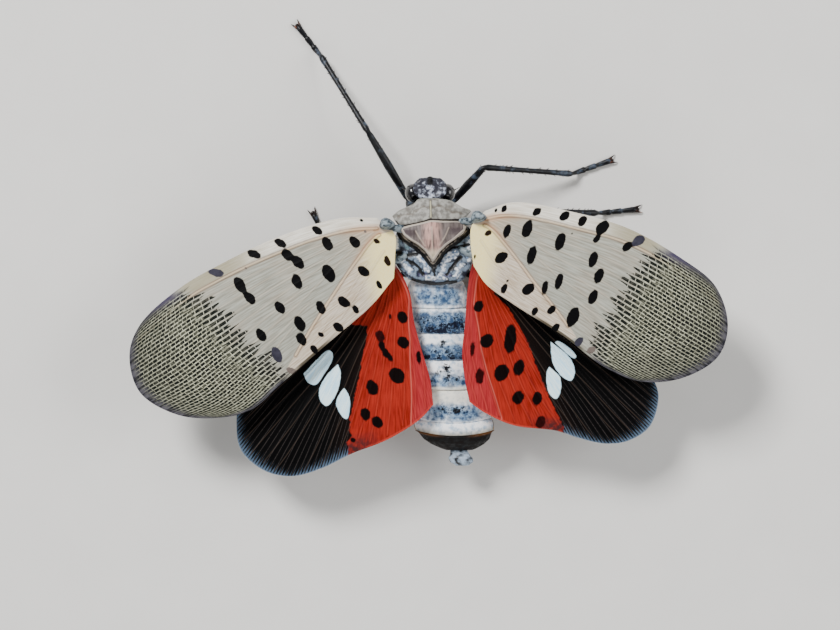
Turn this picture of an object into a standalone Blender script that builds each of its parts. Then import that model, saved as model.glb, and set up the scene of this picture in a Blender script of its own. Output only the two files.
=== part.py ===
"""An adult female spotted lanternfly, Lycorma delicatula, standing on a flat
surface with her wings half spread.

Sizes and places are in millimetres as she is seen from above: X runs to her
right wing, Y to her head and Z up from the surface she stands on. MM turns
them into metres. The whole animal hangs on one empty, which puts the middle
of her outline at the origin.
"""

from math import cos, floor, pi, radians, sin

import bmesh
import bpy
from mathutils import Matrix, Vector
from mathutils.geometry import delaunay_2d_cdt

MM = 0.001
GAP = 0.3
FLOOR = 0.0

# Wings: thickness, the rise and half width of a vein, how far the points of
# its crest and its feet keep from others, and the steps of the mesh
WING_THICKNESS = 0.5
VEIN_RISE = 0.14
VEIN_HALF_WIDTH = 0.2
VEIN_STEP = 1.45
CREST_CLEAR = 0.5
FOOT_CLEAR = 0.12
FOOT_APART = 0.18
MESH_CLEAR = 0.62
MARGIN_STEP = 1.0
MEMBRANE_STEP = 1.7
SIDE_SAMPLES = 160

FOREWING_ROOT_HEIGHT = 6.65
FOREWING_SPAN = 21.4
FOREWING_RISE = 1.1
FOREWING_DROOP = 1.7
FOREWING_CAMBER = 0.016

HINDWING_ROOT_HEIGHT = 5.75
HINDWING_FALL = 0.085
HINDWING_CURVE = 0.0035
HINDWING_HINGE = 2.0

# Each wing's margin runs from the front corner of its root round the tip to
# the rear corner, and its base back along the body
FOREWING_LEFT = {
    "leading": [
        (-3.75, 2.36), (-6.39, 2.31), (-10.57, 1.07), (-14.57, -0.79), (-17.79, -2.64), (-20.68, -5.29),
    ],
    "outer": [(-21.43, -7.43), (-20.68, -10.11), (-18.00, -11.71)],
    "trailing": [
        (-15.11, -11.93), (-12.75, -11.36), (-10.29, -9.25), (-6.86, -6.29), (-4.07, -3.86),
        (-2.50, -1.93),
    ],
    "base": [(-2.42, -0.43), (-2.45, 1.20)],
    "root": (-3.2, 1.6),
    "tip": (-20.2, -9.0),
}
FOREWING_RIGHT = {
    "leading": [
        (4.00, 2.86), (6.00, 3.46), (10.19, 2.79), (14.21, 1.61), (18.00, -0.51), (20.46, -2.50),
    ],
    "outer": [(21.36, -5.31), (20.64, -7.57), (18.01, -9.11)],
    "trailing": [
        (15.00, -9.30), (12.41, -8.21), (9.61, -6.09), (6.04, -3.82), (4.09, -2.40), (3.18, -1.07),
    ],
    "base": [(2.97, 0.57), (3.05, 1.80)],
    "root": (3.8, 1.9),
    "tip": (20.6, -6.0),
}
HINDWING_LEFT = {
    "leading": [(-2.75, -0.55), (-5.70, -2.60), (-9.40, -5.80), (-12.30, -8.70), (-13.70, -10.80)],
    "outer": [(-13.94, -12.40), (-13.63, -14.33), (-11.95, -15.81)],
    "trailing": [
        (-9.86, -16.21), (-7.66, -15.59), (-5.57, -14.55), (-3.05, -13.55), (-0.64, -12.04),
        (0.31, -10.99),
    ],
    "base": [(0.09, -9.21), (-0.64, -6.69), (-1.09, -4.93), (-1.39, -2.93), (-2.10, -1.40)],
    "root": (-2.6, -0.9),
    "tip": (-13.2, -14.2),
}
HINDWING_RIGHT = {
    "leading": [(3.40, -0.15), (6.40, -1.60), (10.40, -3.70), (14.00, -6.60), (16.10, -9.00)],
    "outer": [(16.63, -10.38), (16.00, -12.60), (14.40, -13.65)],
    "trailing": [
        (12.70, -13.84), (10.76, -13.42), (9.19, -12.90), (6.05, -12.48), (3.95, -11.54),
        (2.91, -10.81),
    ],
    "base": [(2.64, -9.55), (2.38, -7.43), (2.59, -5.14), (2.72, -3.20), (3.00, -1.30)],
    "root": (3.2, -0.6),
    "tip": (15.8, -12.2),
}

# Veins run through places (u, v): u from root to tip, v from the leading edge
# to the trailing edge
FOREWING_VEINS = [
    [(0.04, 0.21), (0.12, 0.17), (0.25, 0.145), (0.40, 0.135), (0.56, 0.12), (0.76, 0.12), (0.96, 0.16)],
    [(0.20, 0.27), (0.40, 0.28), (0.60, 0.29), (0.80, 0.30), (0.95, 0.31)],
    [(0.30, 0.40), (0.45, 0.43), (0.60, 0.45), (0.80, 0.46), (0.95, 0.47)],
    [(0.22, 0.43), (0.38, 0.55), (0.60, 0.61), (0.80, 0.63), (0.95, 0.63)],
    [(0.46, 0.69), (0.60, 0.76), (0.78, 0.80), (0.93, 0.80)],
    [(0.05, 0.31), (0.09, 0.36), (0.15, 0.47), (0.24, 0.61), (0.30, 0.685), (0.41, 0.79), (0.53, 0.89)],
    [(0.05, 0.52), (0.10, 0.64), (0.20, 0.79), (0.30, 0.89)],
]
HINDWING_VEIN_ROOT = (0.02, 0.05)
HINDWING_VEIN_ENDS = [
    (0.96, 0.14), (0.96, 0.40), (0.96, 0.66), (0.88, 0.93), (0.66, 0.955), (0.46, 0.96), (0.24, 0.965),
]
HINDWING_VEIN_BEND = 0.05
HINDWING_VEIN_STARTS = (0.22, 0.46)

# Body: the middle line from the brow to the tail, seen from above, and the
# level at which the plates of the back part from the chest
MIDDLE_LINE = [
    (0.05, 5.3), (0.10, 3.5), (0.25, 0.0), (0.55, -2.2), (1.10, -6.5), (1.86, -12.8), (2.45, -15.3),
]
CHEST_TOP = 4.9
CHEST_ARCH = 5.9
BODY_SIDES = 20
SQUARENESS = 2.3

# Chest rings: Y, half width, lowest point
CHEST_WAIST = 4.1
CHEST_RINGS = [(3.4, 1.45, 3.0), (2.6, 2.0, 2.5), (1.2, 2.35, 2.35), (-0.6, 2.3, 2.35), (-1.7, 2.0, 2.45)]

# Belly: where it starts, the length of each back plate, the step by which a
# plate stands over the next, how far in it is at shares of its length, and
# half width, top and bottom as (y, value)
BELLY_START = -2.05
BELLY_PLATES = [1.95, 1.80, 1.90, 2.10, 1.95, 1.20]
BELLY_STEP = 0.12
BELLY_PROFILE = [(0.02, BELLY_STEP), (0.14, 0.0), (0.98, 0.0)]
BELLY_WIDTH = [(-2.05, 2.05), (-5.0, 2.45), (-8.0, 2.70), (-11.0, 2.88), (-13.0, 2.92)]
BELLY_TOP = [(-2.05, 4.95), (-5.0, 5.15), (-9.0, 5.05), (-13.0, 4.55)]
BELLY_BOTTOM = [(-2.05, 2.6), (-5.0, 2.1), (-9.0, 1.8), (-13.0, 1.9)]
BELLY_WAIST = 3.3

# Tail and flap rings: Y, half width, top, bottom
TAIL_RINGS = [
    (-13.25, 2.60, 4.15, 2.05),
    (-13.60, 2.40, 4.00, 1.95),
    (-14.00, 1.90, 3.70, 1.90),
    (-14.32, 1.25, 3.35, 1.95),
    (-14.45, 0.85, 3.10, 2.10),
]
TAIL_WAIST = 2.8
FLAP_RINGS = [
    (-14.75, 0.70, 3.15, 2.20),
    (-15.00, 0.84, 3.25, 2.15),
    (-15.30, 0.80, 3.15, 2.20),
    (-15.55, 0.45, 2.95, 2.45),
]

# Head rings from the brow down to the lip: height, half width, front, back
HEAD_MIDDLE = 0.08
HEAD_RINGS = [
    (5.98, 1.00, 5.12, 4.30),
    (5.84, 1.16, 5.27, 4.12),
    (5.50, 1.10, 5.29, 4.10),
    (5.00, 0.98, 5.22, 4.08),
    (4.40, 0.96, 5.06, 3.75),
    (3.80, 0.94, 4.84, 3.73),
    (3.20, 0.84, 4.52, 3.72),
    (2.75, 0.66, 4.22, 3.55),
    (2.40, 0.50, 3.98, 3.35),
    (2.12, 0.34, 3.72, 3.12),
]
HEAD_SIDES = 18
HEAD_SQUARENESS = 0.8
BROW_KEEL = 0.10
BROW_KEEL_REACH = 0.2
EYE_PLACE = (1.30, 4.22, 4.95)
EYE_SIZE = (0.50, 0.66, 0.78)
EYE_SEAT = 1.30
FEELER_LINE = [(1.30, 4.38, 3.78), (1.62, 4.46, 3.45), (2.15, 4.75, 2.60)]
FEELER_RADII = (0.18, 0.32, 0.34, 0.25, 0.20, 0.15, 0.10, 0.05)

BEAK_LINE = [(0.08, 3.25, 1.62), (0.10, 2.6, 1.45), (0.20, 0.0, 1.40), (0.40, -2.6, 1.35), (0.60, -4.6, 1.30)]
BEAK_RADII = [0.30, 0.28, 0.26, 0.25, 0.12]

# Plates of the back, outlined from their left front corner round by the right
PRONOTUM_OUTLINE = [
    (-2.64, 2.53), (-2.13, 2.93), (-1.10, 3.39), (-0.76, 3.72), (0.10, 3.78), (0.86, 3.74),
    (1.57, 3.61), (2.39, 3.16), (3.01, 2.90), (2.79, 2.59), (2.44, 2.24),
    (1.00, 2.19), (0.10, 2.24), (-0.53, 2.04), (-1.50, 1.84), (-2.07, 1.79), (-2.41, 2.13),
]
PRONOTUM_BOTTOM = CHEST_TOP + GAP
PRONOTUM_TOP = 6.75
MESONOTUM_OUTLINE = [
    (-2.07, 1.40), (-1.45, 1.50), (-0.50, 1.70), (0.15, 1.90), (1.00, 1.86), (1.85, 1.92), (2.58, 1.90),
    (2.60, 1.50), (1.85, 0.82), (1.25, 0.40), (0.80, -0.05), (0.52, -0.50), (0.29, -0.80),
    (0.00, -0.42), (-0.30, 0.00), (-0.81, 0.43), (-1.30, 0.72), (-1.80, 1.12),
]
METANOTUM_TOP = 5.75
MESONOTUM_BOTTOM = METANOTUM_TOP + GAP
MESONOTUM_TOP = 7.45
METANOTUM_OUTLINE = [
    (-2.05, 1.45), (0.20, 1.55), (2.55, 1.75), (2.66, 0.60), (2.62, -0.80), (2.42, -1.95),
    (1.60, -2.35), (0.60, -2.45), (-0.60, -2.30), (-1.42, -1.80), (-1.95, -0.90), (-2.12, 0.30),
]
METANOTUM_BOTTOM = CHEST_TOP + GAP
PLATE_STEP = 0.5
PLATE_RIM = 0.40
PLATE_ROUND = 0.5
PLATE_EDGE_SHARE = 0.45
PLATE_HALF_WIDTH = 3.4
METANOTUM_HALF_WIDTH = 5.0
PRONOTUM_KEELS = [[(0.10, 3.45), (0.12, 3.0), (0.13, 2.55)]]
MESONOTUM_KEELS = [
    [(0.20, 1.50), (0.23, 0.80), (0.27, 0.0)],
    [(-0.85, 1.25), (-0.70, 0.95), (-0.40, 0.55)],
    [(1.30, 1.45), (1.15, 1.05), (0.85, 0.60)],
]
KEEL_STEPS = 3
KEEL_RISE = 0.10

# Scales over the wing roots, which stand clear of the wings
TEGULA_SIZE = (0.62, 0.46, 0.55)
TEGULA_BOTTOM = FOREWING_ROOT_HEIGHT + 0.04 + GAP
TEGULA_LEFT = (-3.02, 1.92, TEGULA_BOTTOM)
TEGULA_RIGHT = (3.50, 2.42, TEGULA_BOTTOM)

LEG_SIDES = 8
FOOT_LEVEL = 0.2

# Legs: the top of the hip, the end of the hip, the knee, the ankle and the
# toe of each, for her left and her right
LEG_LINES = {
    "foreleg_left": [
        (-0.95, 2.75, 2.15), (-1.45, 3.85, 1.55), (-4.40, 8.70, 3.75),
        (-7.95, 14.55, 0.75), (-9.65, 16.75, FOOT_LEVEL),
    ],
    "foreleg_right": [
        (1.15, 2.85, 2.15), (1.75, 3.75, 1.55), (4.00, 6.15, 3.60),
        (10.55, 5.85, 0.75), (13.40, 6.85, FOOT_LEVEL),
    ],
    "midleg_left": [
        (-1.10, 0.70, 2.05), (-2.05, 0.85, 1.45), (-5.60, 2.15, 4.05),
        (-7.55, 0.75, 0.75), (-8.50, 2.85, FOOT_LEVEL),
    ],
    "midleg_right": [
        (1.60, 0.90, 2.05), (2.50, 1.10, 1.45), (6.10, 3.05, 4.05),
        (12.45, 2.95, 0.75), (15.30, 3.25, FOOT_LEVEL),
    ],
    "hindleg_left": [
        (-0.95, -1.15, 2.10), (-1.85, -1.55, 1.45), (-5.30, -3.40, 3.35),
        (-7.90, -8.40, 0.75), (-8.90, -11.10, FOOT_LEVEL),
    ],
    "hindleg_right": [
        (1.80, -1.05, 2.10), (2.70, -1.45, 1.45), (6.30, -3.10, 3.35),
        (9.30, -7.90, 0.75), (10.50, -10.60, FOOT_LEVEL),
    ],
}
HIP_RADII = (0.46, 0.34, 0.20)
THIGH_RADII = (0.26, 0.30, 0.40, 0.30, 0.18)
SHIN_RADII = (0.25, 0.27, 0.25, 0.27, 0.16)
FOOT_RADII = (0.25, 0.27, 0.26, 0.26, 0.20)
FOOT_SHARES = (0.28, 0.52, 0.78, 1.0)
LIMB_NECK = 0.5
LIMB_END = 0.12
HIP_END = 0.2

# Claws and spines: a spike narrows to SPIKE_WAIST of its radius at SPIKE_BEND
# of its length
CLAW_LENGTH = 0.55
CLAW_SPREAD = 0.30
CLAW_RADIUS = 0.11
CLAW_SUNK = 0.2
CLAW_APART = 0.09
CLAW_LEVEL = 0.06
SPINE_LENGTH = 0.62
SPINE_RADIUS = 0.17
SPINE_PLACES = (0.30, 0.46, 0.61, 0.75, 0.88)
SPINE_RAKE = 0.45
SPINE_LIFT = 0.35
CROWN_TURNS = (-60, 0, 60)
CROWN_LENGTH = 0.75
CROWN_RAKE = 0.2
CROWN_SUNK = 0.12
SPIKE_SIDES = 4
SPIKE_BEND = 0.55
SPIKE_WAIST = 0.62
SPIKE_TIP = 0.03

COLOURS = {
    "forewing": (0.45, 0.42, 0.36, 1.0),
    "hindwing": (0.60, 0.05, 0.02, 1.0),
    "back_plate": (0.30, 0.25, 0.22, 1.0),
    "wax": (0.65, 0.70, 0.75, 1.0),
    "black": (0.02, 0.02, 0.025, 1.0),
    "brown": (0.08, 0.04, 0.02, 1.0),
    "orange": (0.60, 0.15, 0.04, 1.0),
    "eye": (0.03, 0.02, 0.02, 1.0),
}


def clear_scene():
    """Removes what Blender starts with."""
    for item in list(bpy.data.objects):
        bpy.data.objects.remove(item, do_unlink=True)


def painted(name):
    """The material of that name, made the first time that it is asked for."""
    material = bpy.data.materials.get(name)
    if material is None:
        material = bpy.data.materials.new(name)
        material.use_nodes = True
        shader = material.node_tree.nodes["Principled BSDF"]
        shader.inputs["Base Color"].default_value = COLOURS[name]
        shader.inputs["Roughness"].default_value = 0.55
        shader.inputs["Metallic"].default_value = 0.0
    return material


def add_piece(name, points, faces, colour, root):
    """One closed body from points in millimetres."""
    mesh = bpy.data.meshes.new(name)
    mesh.from_pydata([Vector(point) * MM for point in points], [], faces)
    work = bmesh.new()
    work.from_mesh(mesh)
    bmesh.ops.triangulate(work, faces=[face for face in work.faces if len(face.verts) > 4])
    bmesh.ops.recalc_face_normals(work, faces=work.faces)
    work.to_mesh(mesh)
    work.free()
    mesh.materials.append(painted(colour))
    piece = bpy.data.objects.new(name, mesh)
    bpy.context.collection.objects.link(piece)
    piece.parent = root
    return piece


def curve_through(points, steps):
    """A smooth curve through the points, with so many steps between each two."""
    line = [Vector(point) for point in points]
    line = [line[0] * 2 - line[1]] + line + [line[-1] * 2 - line[-2]]
    smooth = []
    for before, start, end, after in zip(line, line[1:], line[2:], line[3:]):
        knot_start = (start - before).length ** 0.5
        knot_end = knot_start + (end - start).length ** 0.5
        knot_after = knot_end + (after - end).length ** 0.5
        for k in range(steps):
            t = knot_start + (knot_end - knot_start) * k / steps
            a = before.lerp(start, t / knot_start)
            b = start.lerp(end, (t - knot_start) / (knot_end - knot_start))
            c = end.lerp(after, (t - knot_end) / (knot_after - knot_end))
            first = a.lerp(b, t / knot_end)
            second = b.lerp(c, (t - knot_start) / (knot_after - knot_start))
            smooth.append(first.lerp(second, (t - knot_start) / (knot_end - knot_start)))
    smooth.append(Vector(points[-1]))
    return smooth


def evenly(line, count):
    """The line cut into so many even steps, ends kept."""
    lengths = [0.0]
    for a, b in zip(line, line[1:]):
        lengths.append(lengths[-1] + (b - a).length)
    points = []
    place = 0
    for i in range(count + 1):
        wanted = lengths[-1] * i / count
        while place < len(line) - 2 and lengths[place + 1] < wanted:
            place += 1
        span = lengths[place + 1] - lengths[place]
        points.append(line[place].lerp(line[place + 1], (wanted - lengths[place]) / span))
    return points


def length_of(line):
    """The length of a line of points."""
    return sum((b - a).length for a, b in zip(line, line[1:]))


def value_at(table, y):
    """A value read between the rows (y, value) of a table that runs to the tail."""
    if y >= table[0][0]:
        return table[0][1]
    for (y0, a), (y1, b) in zip(table, table[1:]):
        if y >= y1:
            return a + (b - a) * (y0 - y) / (y0 - y1)
    return table[-1][1]


MIDDLE_TABLE = [(point.y, point.x) for point in curve_through(MIDDLE_LINE, 8)]


def middle(y):
    """The X of the body's middle line at y."""
    return value_at(MIDDLE_TABLE, y)


class WingPlan:
    """A wing's outline seen from above, with u from root to tip and v from
    the leading edge to the trailing edge."""

    def __init__(self, wing):
        steps = 12
        margin = curve_through(wing["leading"] + wing["outer"] + wing["trailing"], steps)
        tip_front = (len(wing["leading"]) - 1) * steps
        tip_rear = (len(wing["leading"]) + len(wing["outer"])) * steps
        base = curve_through([wing["trailing"][-1]] + wing["base"] + [wing["leading"][0]], steps)
        self.leading = evenly(margin[: tip_front + 1], SIDE_SAMPLES)
        self.outer = evenly(margin[tip_front : tip_rear + 1], SIDE_SAMPLES)
        self.trailing = evenly(margin[tip_rear:][::-1], SIDE_SAMPLES)
        self.base = evenly(base[::-1], SIDE_SAMPLES)

    def side(self, samples, t):
        """The place at the share t of one side."""
        place = min(max(t, 0.0), 1.0) * SIDE_SAMPLES
        first = min(floor(place), SIDE_SAMPLES - 1)
        return samples[first].lerp(samples[first + 1], place - first)

    def at(self, u, v):
        """The place of (u, v), blended from the four sides."""
        edges = self.side(self.leading, u) * (1 - v) + self.side(self.trailing, u) * v
        ends = self.side(self.base, v) * (1 - u) + self.side(self.outer, v) * u
        corners = (
            self.leading[0] * (1 - u) * (1 - v)
            + self.leading[-1] * u * (1 - v)
            + self.trailing[0] * (1 - u) * v
            + self.trailing[-1] * u * v
        )
        return edges + ends - corners

    def outline(self, step):
        """The whole outline as a loop of points about a step apart."""
        loop = []
        for samples in (self.leading, self.outer, self.trailing[::-1], self.base[::-1]):
            count = max(3, round(length_of(samples) / step))
            loop.extend(evenly(samples, count)[:-1])
        return loop


def distance_to_line(point, line):
    """The distance from a point to a line of points."""
    if not line:
        return 1e9
    nearest = (point - line[0]).length
    for a, b in zip(line, line[1:]):
        along = (point - a).dot(b - a) / max((b - a).length_squared, 1e-12)
        foot = a.lerp(b, min(max(along, 0.0), 1.0))
        nearest = min(nearest, (point - foot).length)
    return nearest


def inside(point, loop):
    """Whether a point lies inside a closed outline."""
    crossings = False
    for a, b in zip(loop, loop[1:] + loop[:1]):
        if (a.y > point.y) != (b.y > point.y):
            if point.x < a.x + (b.x - a.x) * (point.y - a.y) / (b.y - a.y):
                crossings = not crossings
    return crossings


def sheet_solid(outline, ridges, step, top, bottom):
    """A closed plate over an outline seen from above, cut into the same
    triangles on both faces. Each ridge is a line of points with its crest.
    """
    points = list(outline)
    crests = [0.0] * len(outline)
    edges = [(i, (i + 1) % len(outline)) for i in range(len(outline))]
    crest_lines = []
    for line, crest in ridges:
        kept = []
        for point in line:
            if all(distance_to_line(point, other) > CREST_CLEAR for other in crest_lines):
                kept.append(point)
        points.extend(kept)
        crests.extend([crest] * len(kept))
        crest_lines.append(kept)
    for line in crest_lines:
        for side in (-1, 1):
            for i, point in enumerate(line):
                along = (line[min(i + 1, len(line) - 1)] - line[max(i - 1, 0)]).normalized()
                place = point + Vector((-along.y, along.x)) * VEIN_HALF_WIDTH * side
                free = min((place - other).length for other in points) > FOOT_CLEAR
                apart = min(distance_to_line(place, other) for other in crest_lines) > FOOT_APART
                if free and apart and inside(place, outline):
                    points.append(place)
                    crests.append(0.0)
    low = Vector((min(p.x for p in outline), min(p.y for p in outline)))
    high = Vector((max(p.x for p in outline), max(p.y for p in outline)))
    rows = int((high.y - low.y) / step) + 1
    columns = int((high.x - low.x) / step) + 1
    fixed = list(points)
    for row in range(rows + 1):
        for column in range(columns + 1):
            shift = 0.5 * (row % 2)
            place = low + Vector(((column + shift) * step, row * step))
            free = min((place - other).length for other in fixed) > MESH_CLEAR * step
            if free and inside(place, outline):
                points.append(place)
                crests.append(0.0)
    flat, _, triangles, _, _, _ = delaunay_2d_cdt(points, edges, [list(range(len(outline)))], 1, 1e-6)
    triangles = [triangle for triangle in triangles if len(triangle) == 3]
    count = len(flat)
    body = [(p.x, p.y, top(p.x, p.y) + crests[i]) for i, p in enumerate(flat)]
    body += [(p.x, p.y, bottom(p.x, p.y)) for p in flat]
    faces = [tuple(triangle) for triangle in triangles]
    faces += [tuple(count + i for i in reversed(triangle)) for triangle in triangles]
    rim = len(outline)
    for i in range(rim):
        j = (i + 1) % rim
        faces.append((i, j, count + i))
        faces.append((j, count + j, count + i))
    return body, faces


def loft(rings):
    """Points and faces of a closed body through rings of like count."""
    count = len(rings[0])
    points = [tuple(point) for ring in rings for point in ring]
    faces = []
    for i in range(len(rings) - 1):
        for j in range(count):
            k = (j + 1) % count
            faces.append((i * count + j, i * count + k, (i + 1) * count + k, (i + 1) * count + j))
    faces.append(tuple(range(count))[::-1])
    faces.append(tuple((len(rings) - 1) * count + j for j in range(count)))
    return points, faces


def body_ring(y, half_width, top, bottom, waist, ceiling=1e9):
    """A ring across the body at y, round a waist level, cut off at a ceiling."""
    ring = []
    for i in range(BODY_SIDES):
        angle = 2 * pi * (i + 0.5) / BODY_SIDES
        across = abs(cos(angle)) ** (2 / SQUARENESS) * (1 if cos(angle) > 0 else -1)
        up = abs(sin(angle)) ** (2 / SQUARENESS) * (1 if sin(angle) > 0 else -1)
        reach = top - waist if up > 0 else waist - bottom
        ring.append((middle(y) + half_width * across, y, min(waist + reach * up, ceiling)))
    return ring


def tube(line, radii, sides=LEG_SIDES, flat=None):
    """A closed tube along a line of points, which may stand flat on a level."""
    path = [Vector(point) for point in line]
    side = Vector((0.0, 0.0, 1.0))
    rings = []
    for i, point in enumerate(path):
        along = (path[min(i + 1, len(path) - 1)] - path[max(i - 1, 0)]).normalized()
        across = along.cross(side).normalized()
        up = across.cross(along).normalized()
        ring = []
        for j in range(sides):
            angle = 2 * pi * (j + 0.5) / sides
            place = point + (across * cos(angle) + up * sin(angle)) * radii[i]
            if flat is not None:
                place.z = max(place.z, flat)
            ring.append(place)
        rings.append(ring)
    return loft(rings)


def ellipsoid(place, size, rings=8, sides=12):
    """Points and faces of a closed egg shape with its half sizes."""
    points = []
    for i in range(1, rings):
        tilt = pi * i / rings
        for j in range(sides):
            turn = 2 * pi * j / sides
            points.append((
                place[0] + size[0] * sin(tilt) * cos(turn),
                place[1] + size[1] * sin(tilt) * sin(turn),
                place[2] + size[2] * cos(tilt),
            ))
    faces = []
    for i in range(rings - 2):
        for j in range(sides):
            k = (j + 1) % sides
            faces.append((i * sides + j, (i + 1) * sides + j, (i + 1) * sides + k, i * sides + k))
    faces.append(tuple(range(sides)))
    faces.append(tuple((rings - 2) * sides + j for j in range(sides))[::-1])
    return points, faces


def forewing_top(wing):
    """The height of a forewing's upper face: it rises from its root, then
    droops to the tip, and is arched from front to rear."""
    root = Vector(wing["root"])
    along = (Vector(wing["tip"]) - root).normalized()

    def height(x, y):
        place = Vector((x, y)) - root
        reach = place.dot(along) / FOREWING_SPAN
        across = place.x * along.y - place.y * along.x
        lift = FOREWING_RISE * reach - FOREWING_DROOP * reach * abs(reach)
        flat_root = min(max(reach * 3, 0), 1)
        return FOREWING_ROOT_HEIGHT + lift - FOREWING_CAMBER * across * across * flat_root

    return height


def hindwing_top():
    """The height of a hindwing's upper face, which falls away from the body."""

    def height(x, y):
        reach = max(abs(x - middle(y)) - HINDWING_HINGE, 0.0)
        return HINDWING_ROOT_HEIGHT - HINDWING_FALL * reach - HINDWING_CURVE * reach * reach

    return height


def fan_veins():
    """The veins of a hindwing, from its root to its margin."""
    start = Vector(HINDWING_VEIN_ROOT)
    veins = []
    for i, end in enumerate(HINDWING_VEIN_ENDS):
        way = Vector(end) - start
        bow = Vector((-way.y, way.x)).normalized() * HINDWING_VEIN_BEND
        begin = HINDWING_VEIN_STARTS[i % 2]
        veins.append([start + way * begin, start + way * (begin + 1) / 2 + bow, Vector(end)])
    return veins


def make_wing(name, wing, height, veins, colour, root):
    """One wing as a curved plate with its main veins as ridges."""
    plan = WingPlan(wing)
    outline = plan.outline(MARGIN_STEP)
    ridges = []
    for vein in veins:
        line = [plan.at(place[0], place[1]) for place in curve_through(vein, 6)]
        ridges.append((evenly(line, max(2, round(length_of(line) / VEIN_STEP))), VEIN_RISE))
    points, faces = sheet_solid(
        outline, ridges, MEMBRANE_STEP, height, lambda x, y: height(x, y) - WING_THICKNESS
    )
    return add_piece(name, points, faces, colour, root)


def make_wings(root):
    for name, wing in (("forewing_left", FOREWING_LEFT), ("forewing_right", FOREWING_RIGHT)):
        make_wing(name, wing, forewing_top(wing), FOREWING_VEINS, "forewing", root)
    for name, wing in (("hindwing_left", HINDWING_LEFT), ("hindwing_right", HINDWING_RIGHT)):
        make_wing(name, wing, hindwing_top(), fan_veins(), "hindwing", root)


def make_chest(root):
    """The chest under the plates of the back."""
    rings = [
        body_ring(y, half_width, CHEST_ARCH, bottom, CHEST_WAIST, CHEST_TOP)
        for y, half_width, bottom in CHEST_RINGS
    ]
    add_piece("thorax", *loft(rings), "black", root)


def plate_height(outline, low, high, half_width):
    """A height that rounds up from the rim of a plate and arches across the body."""
    loop = [Vector(point) for point in outline]
    loop.append(loop[0])

    def height(x, y):
        depth = min(distance_to_line(Vector((x, y)), loop) / PLATE_ROUND, 1.0)
        edge = 1 - (1 - depth) ** 2
        arch = 1 - min(abs(x - middle(y)) / half_width, 1.0) ** 2
        return low + (high - low) * edge * (PLATE_EDGE_SHARE + (1 - PLATE_EDGE_SHARE) * arch)

    return height


def make_plate(name, outline, keels, levels, half_width, colour, root):
    """One plate of the back between its lowest and highest level, with its keels."""
    low, high = levels
    height = plate_height(outline, low + PLATE_RIM, high, half_width)
    line = curve_through(list(outline) + [outline[0]], 2)[:-1]
    ridges = [(evenly(curve_through(keel, 4), KEEL_STEPS), KEEL_RISE) for keel in keels]
    points, faces = sheet_solid(line, ridges, PLATE_STEP, height, lambda x, y: low)
    return add_piece(name, points, faces, colour, root)


def make_back(root):
    """The plates of the back and the scales over the wing roots."""
    for name, outline, keels, levels, half_width in (
        ("pronotum", PRONOTUM_OUTLINE, PRONOTUM_KEELS, (PRONOTUM_BOTTOM, PRONOTUM_TOP), PLATE_HALF_WIDTH),
        ("mesonotum", MESONOTUM_OUTLINE, MESONOTUM_KEELS, (MESONOTUM_BOTTOM, MESONOTUM_TOP), PLATE_HALF_WIDTH),
        ("metanotum", METANOTUM_OUTLINE, [], (METANOTUM_BOTTOM, METANOTUM_TOP), METANOTUM_HALF_WIDTH),
    ):
        colour = "wax" if name == "metanotum" else "back_plate"
        make_plate(name, outline, keels, levels, half_width, colour, root)
    for name, place in (("tegula_left", TEGULA_LEFT), ("tegula_right", TEGULA_RIGHT)):
        points, faces = ellipsoid(place, TEGULA_SIZE)
        points = [(x, y, max(z, place[2])) for x, y, z in points]
        add_piece(name, points, faces, "wax", root)


def make_belly(root):
    """The belly with its stepped plates, the tail and the flap at its end."""
    rings = []
    y = BELLY_START
    for length in BELLY_PLATES:
        for share, shrink in BELLY_PROFILE:
            place = y - length * share
            rings.append(body_ring(
                place,
                value_at(BELLY_WIDTH, place) - shrink,
                value_at(BELLY_TOP, place) - shrink,
                value_at(BELLY_BOTTOM, place) + shrink,
                BELLY_WAIST,
            ))
        y -= length
    add_piece("abdomen", *loft(rings), "wax", root)
    rings = [body_ring(y, width, top, bottom, TAIL_WAIST) for y, width, top, bottom in TAIL_RINGS]
    add_piece("abdomen_tip", *loft(rings), "brown", root)
    rings = [body_ring(y, width, top, bottom, TAIL_WAIST) for y, width, top, bottom in FLAP_RINGS]
    add_piece("anal_tube", *loft(rings), "wax", root)


def make_head(root):
    """The head with its beak, eyes and feelers."""
    rings = []
    for height, half_width, front, back in HEAD_RINGS:
        ring = []
        for i in range(HEAD_SIDES):
            angle = 2 * pi * (i + 0.5) / HEAD_SIDES
            across = abs(cos(angle)) ** HEAD_SQUARENESS * (1 if cos(angle) > 0 else -1)
            ahead = abs(sin(angle)) ** HEAD_SQUARENESS * (1 if sin(angle) > 0 else -1)
            centre = (front + back) / 2
            keel = BROW_KEEL if ahead > 0 and abs(across) < BROW_KEEL_REACH else 0.0
            ring.append((
                HEAD_MIDDLE + half_width * across,
                centre + (front - back) / 2 * ahead + keel,
                height,
            ))
        rings.append(ring)
    add_piece("head", *loft(rings), "back_plate", root)
    add_piece("rostrum", *tube(BEAK_LINE, BEAK_RADII), "black", root)
    for side, name in ((-1, "left"), (1, "right")):
        place = (HEAD_MIDDLE + side * EYE_PLACE[0], EYE_PLACE[1], EYE_PLACE[2])
        points, faces = ellipsoid(place, EYE_SIZE)
        seat = HEAD_MIDDLE + side * EYE_SEAT
        points = [(max(x, seat) if side > 0 else min(x, seat), y, z) for x, y, z in points]
        add_piece("eye_" + name, points, faces, "eye", root)
        line = [Vector((HEAD_MIDDLE + side * x, y, z)) for x, y, z in FEELER_LINE]
        line = evenly(line, len(FEELER_RADII) - 1)
        add_piece("antenna_" + name, *tube(line, FEELER_RADII), "orange", root)


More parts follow.
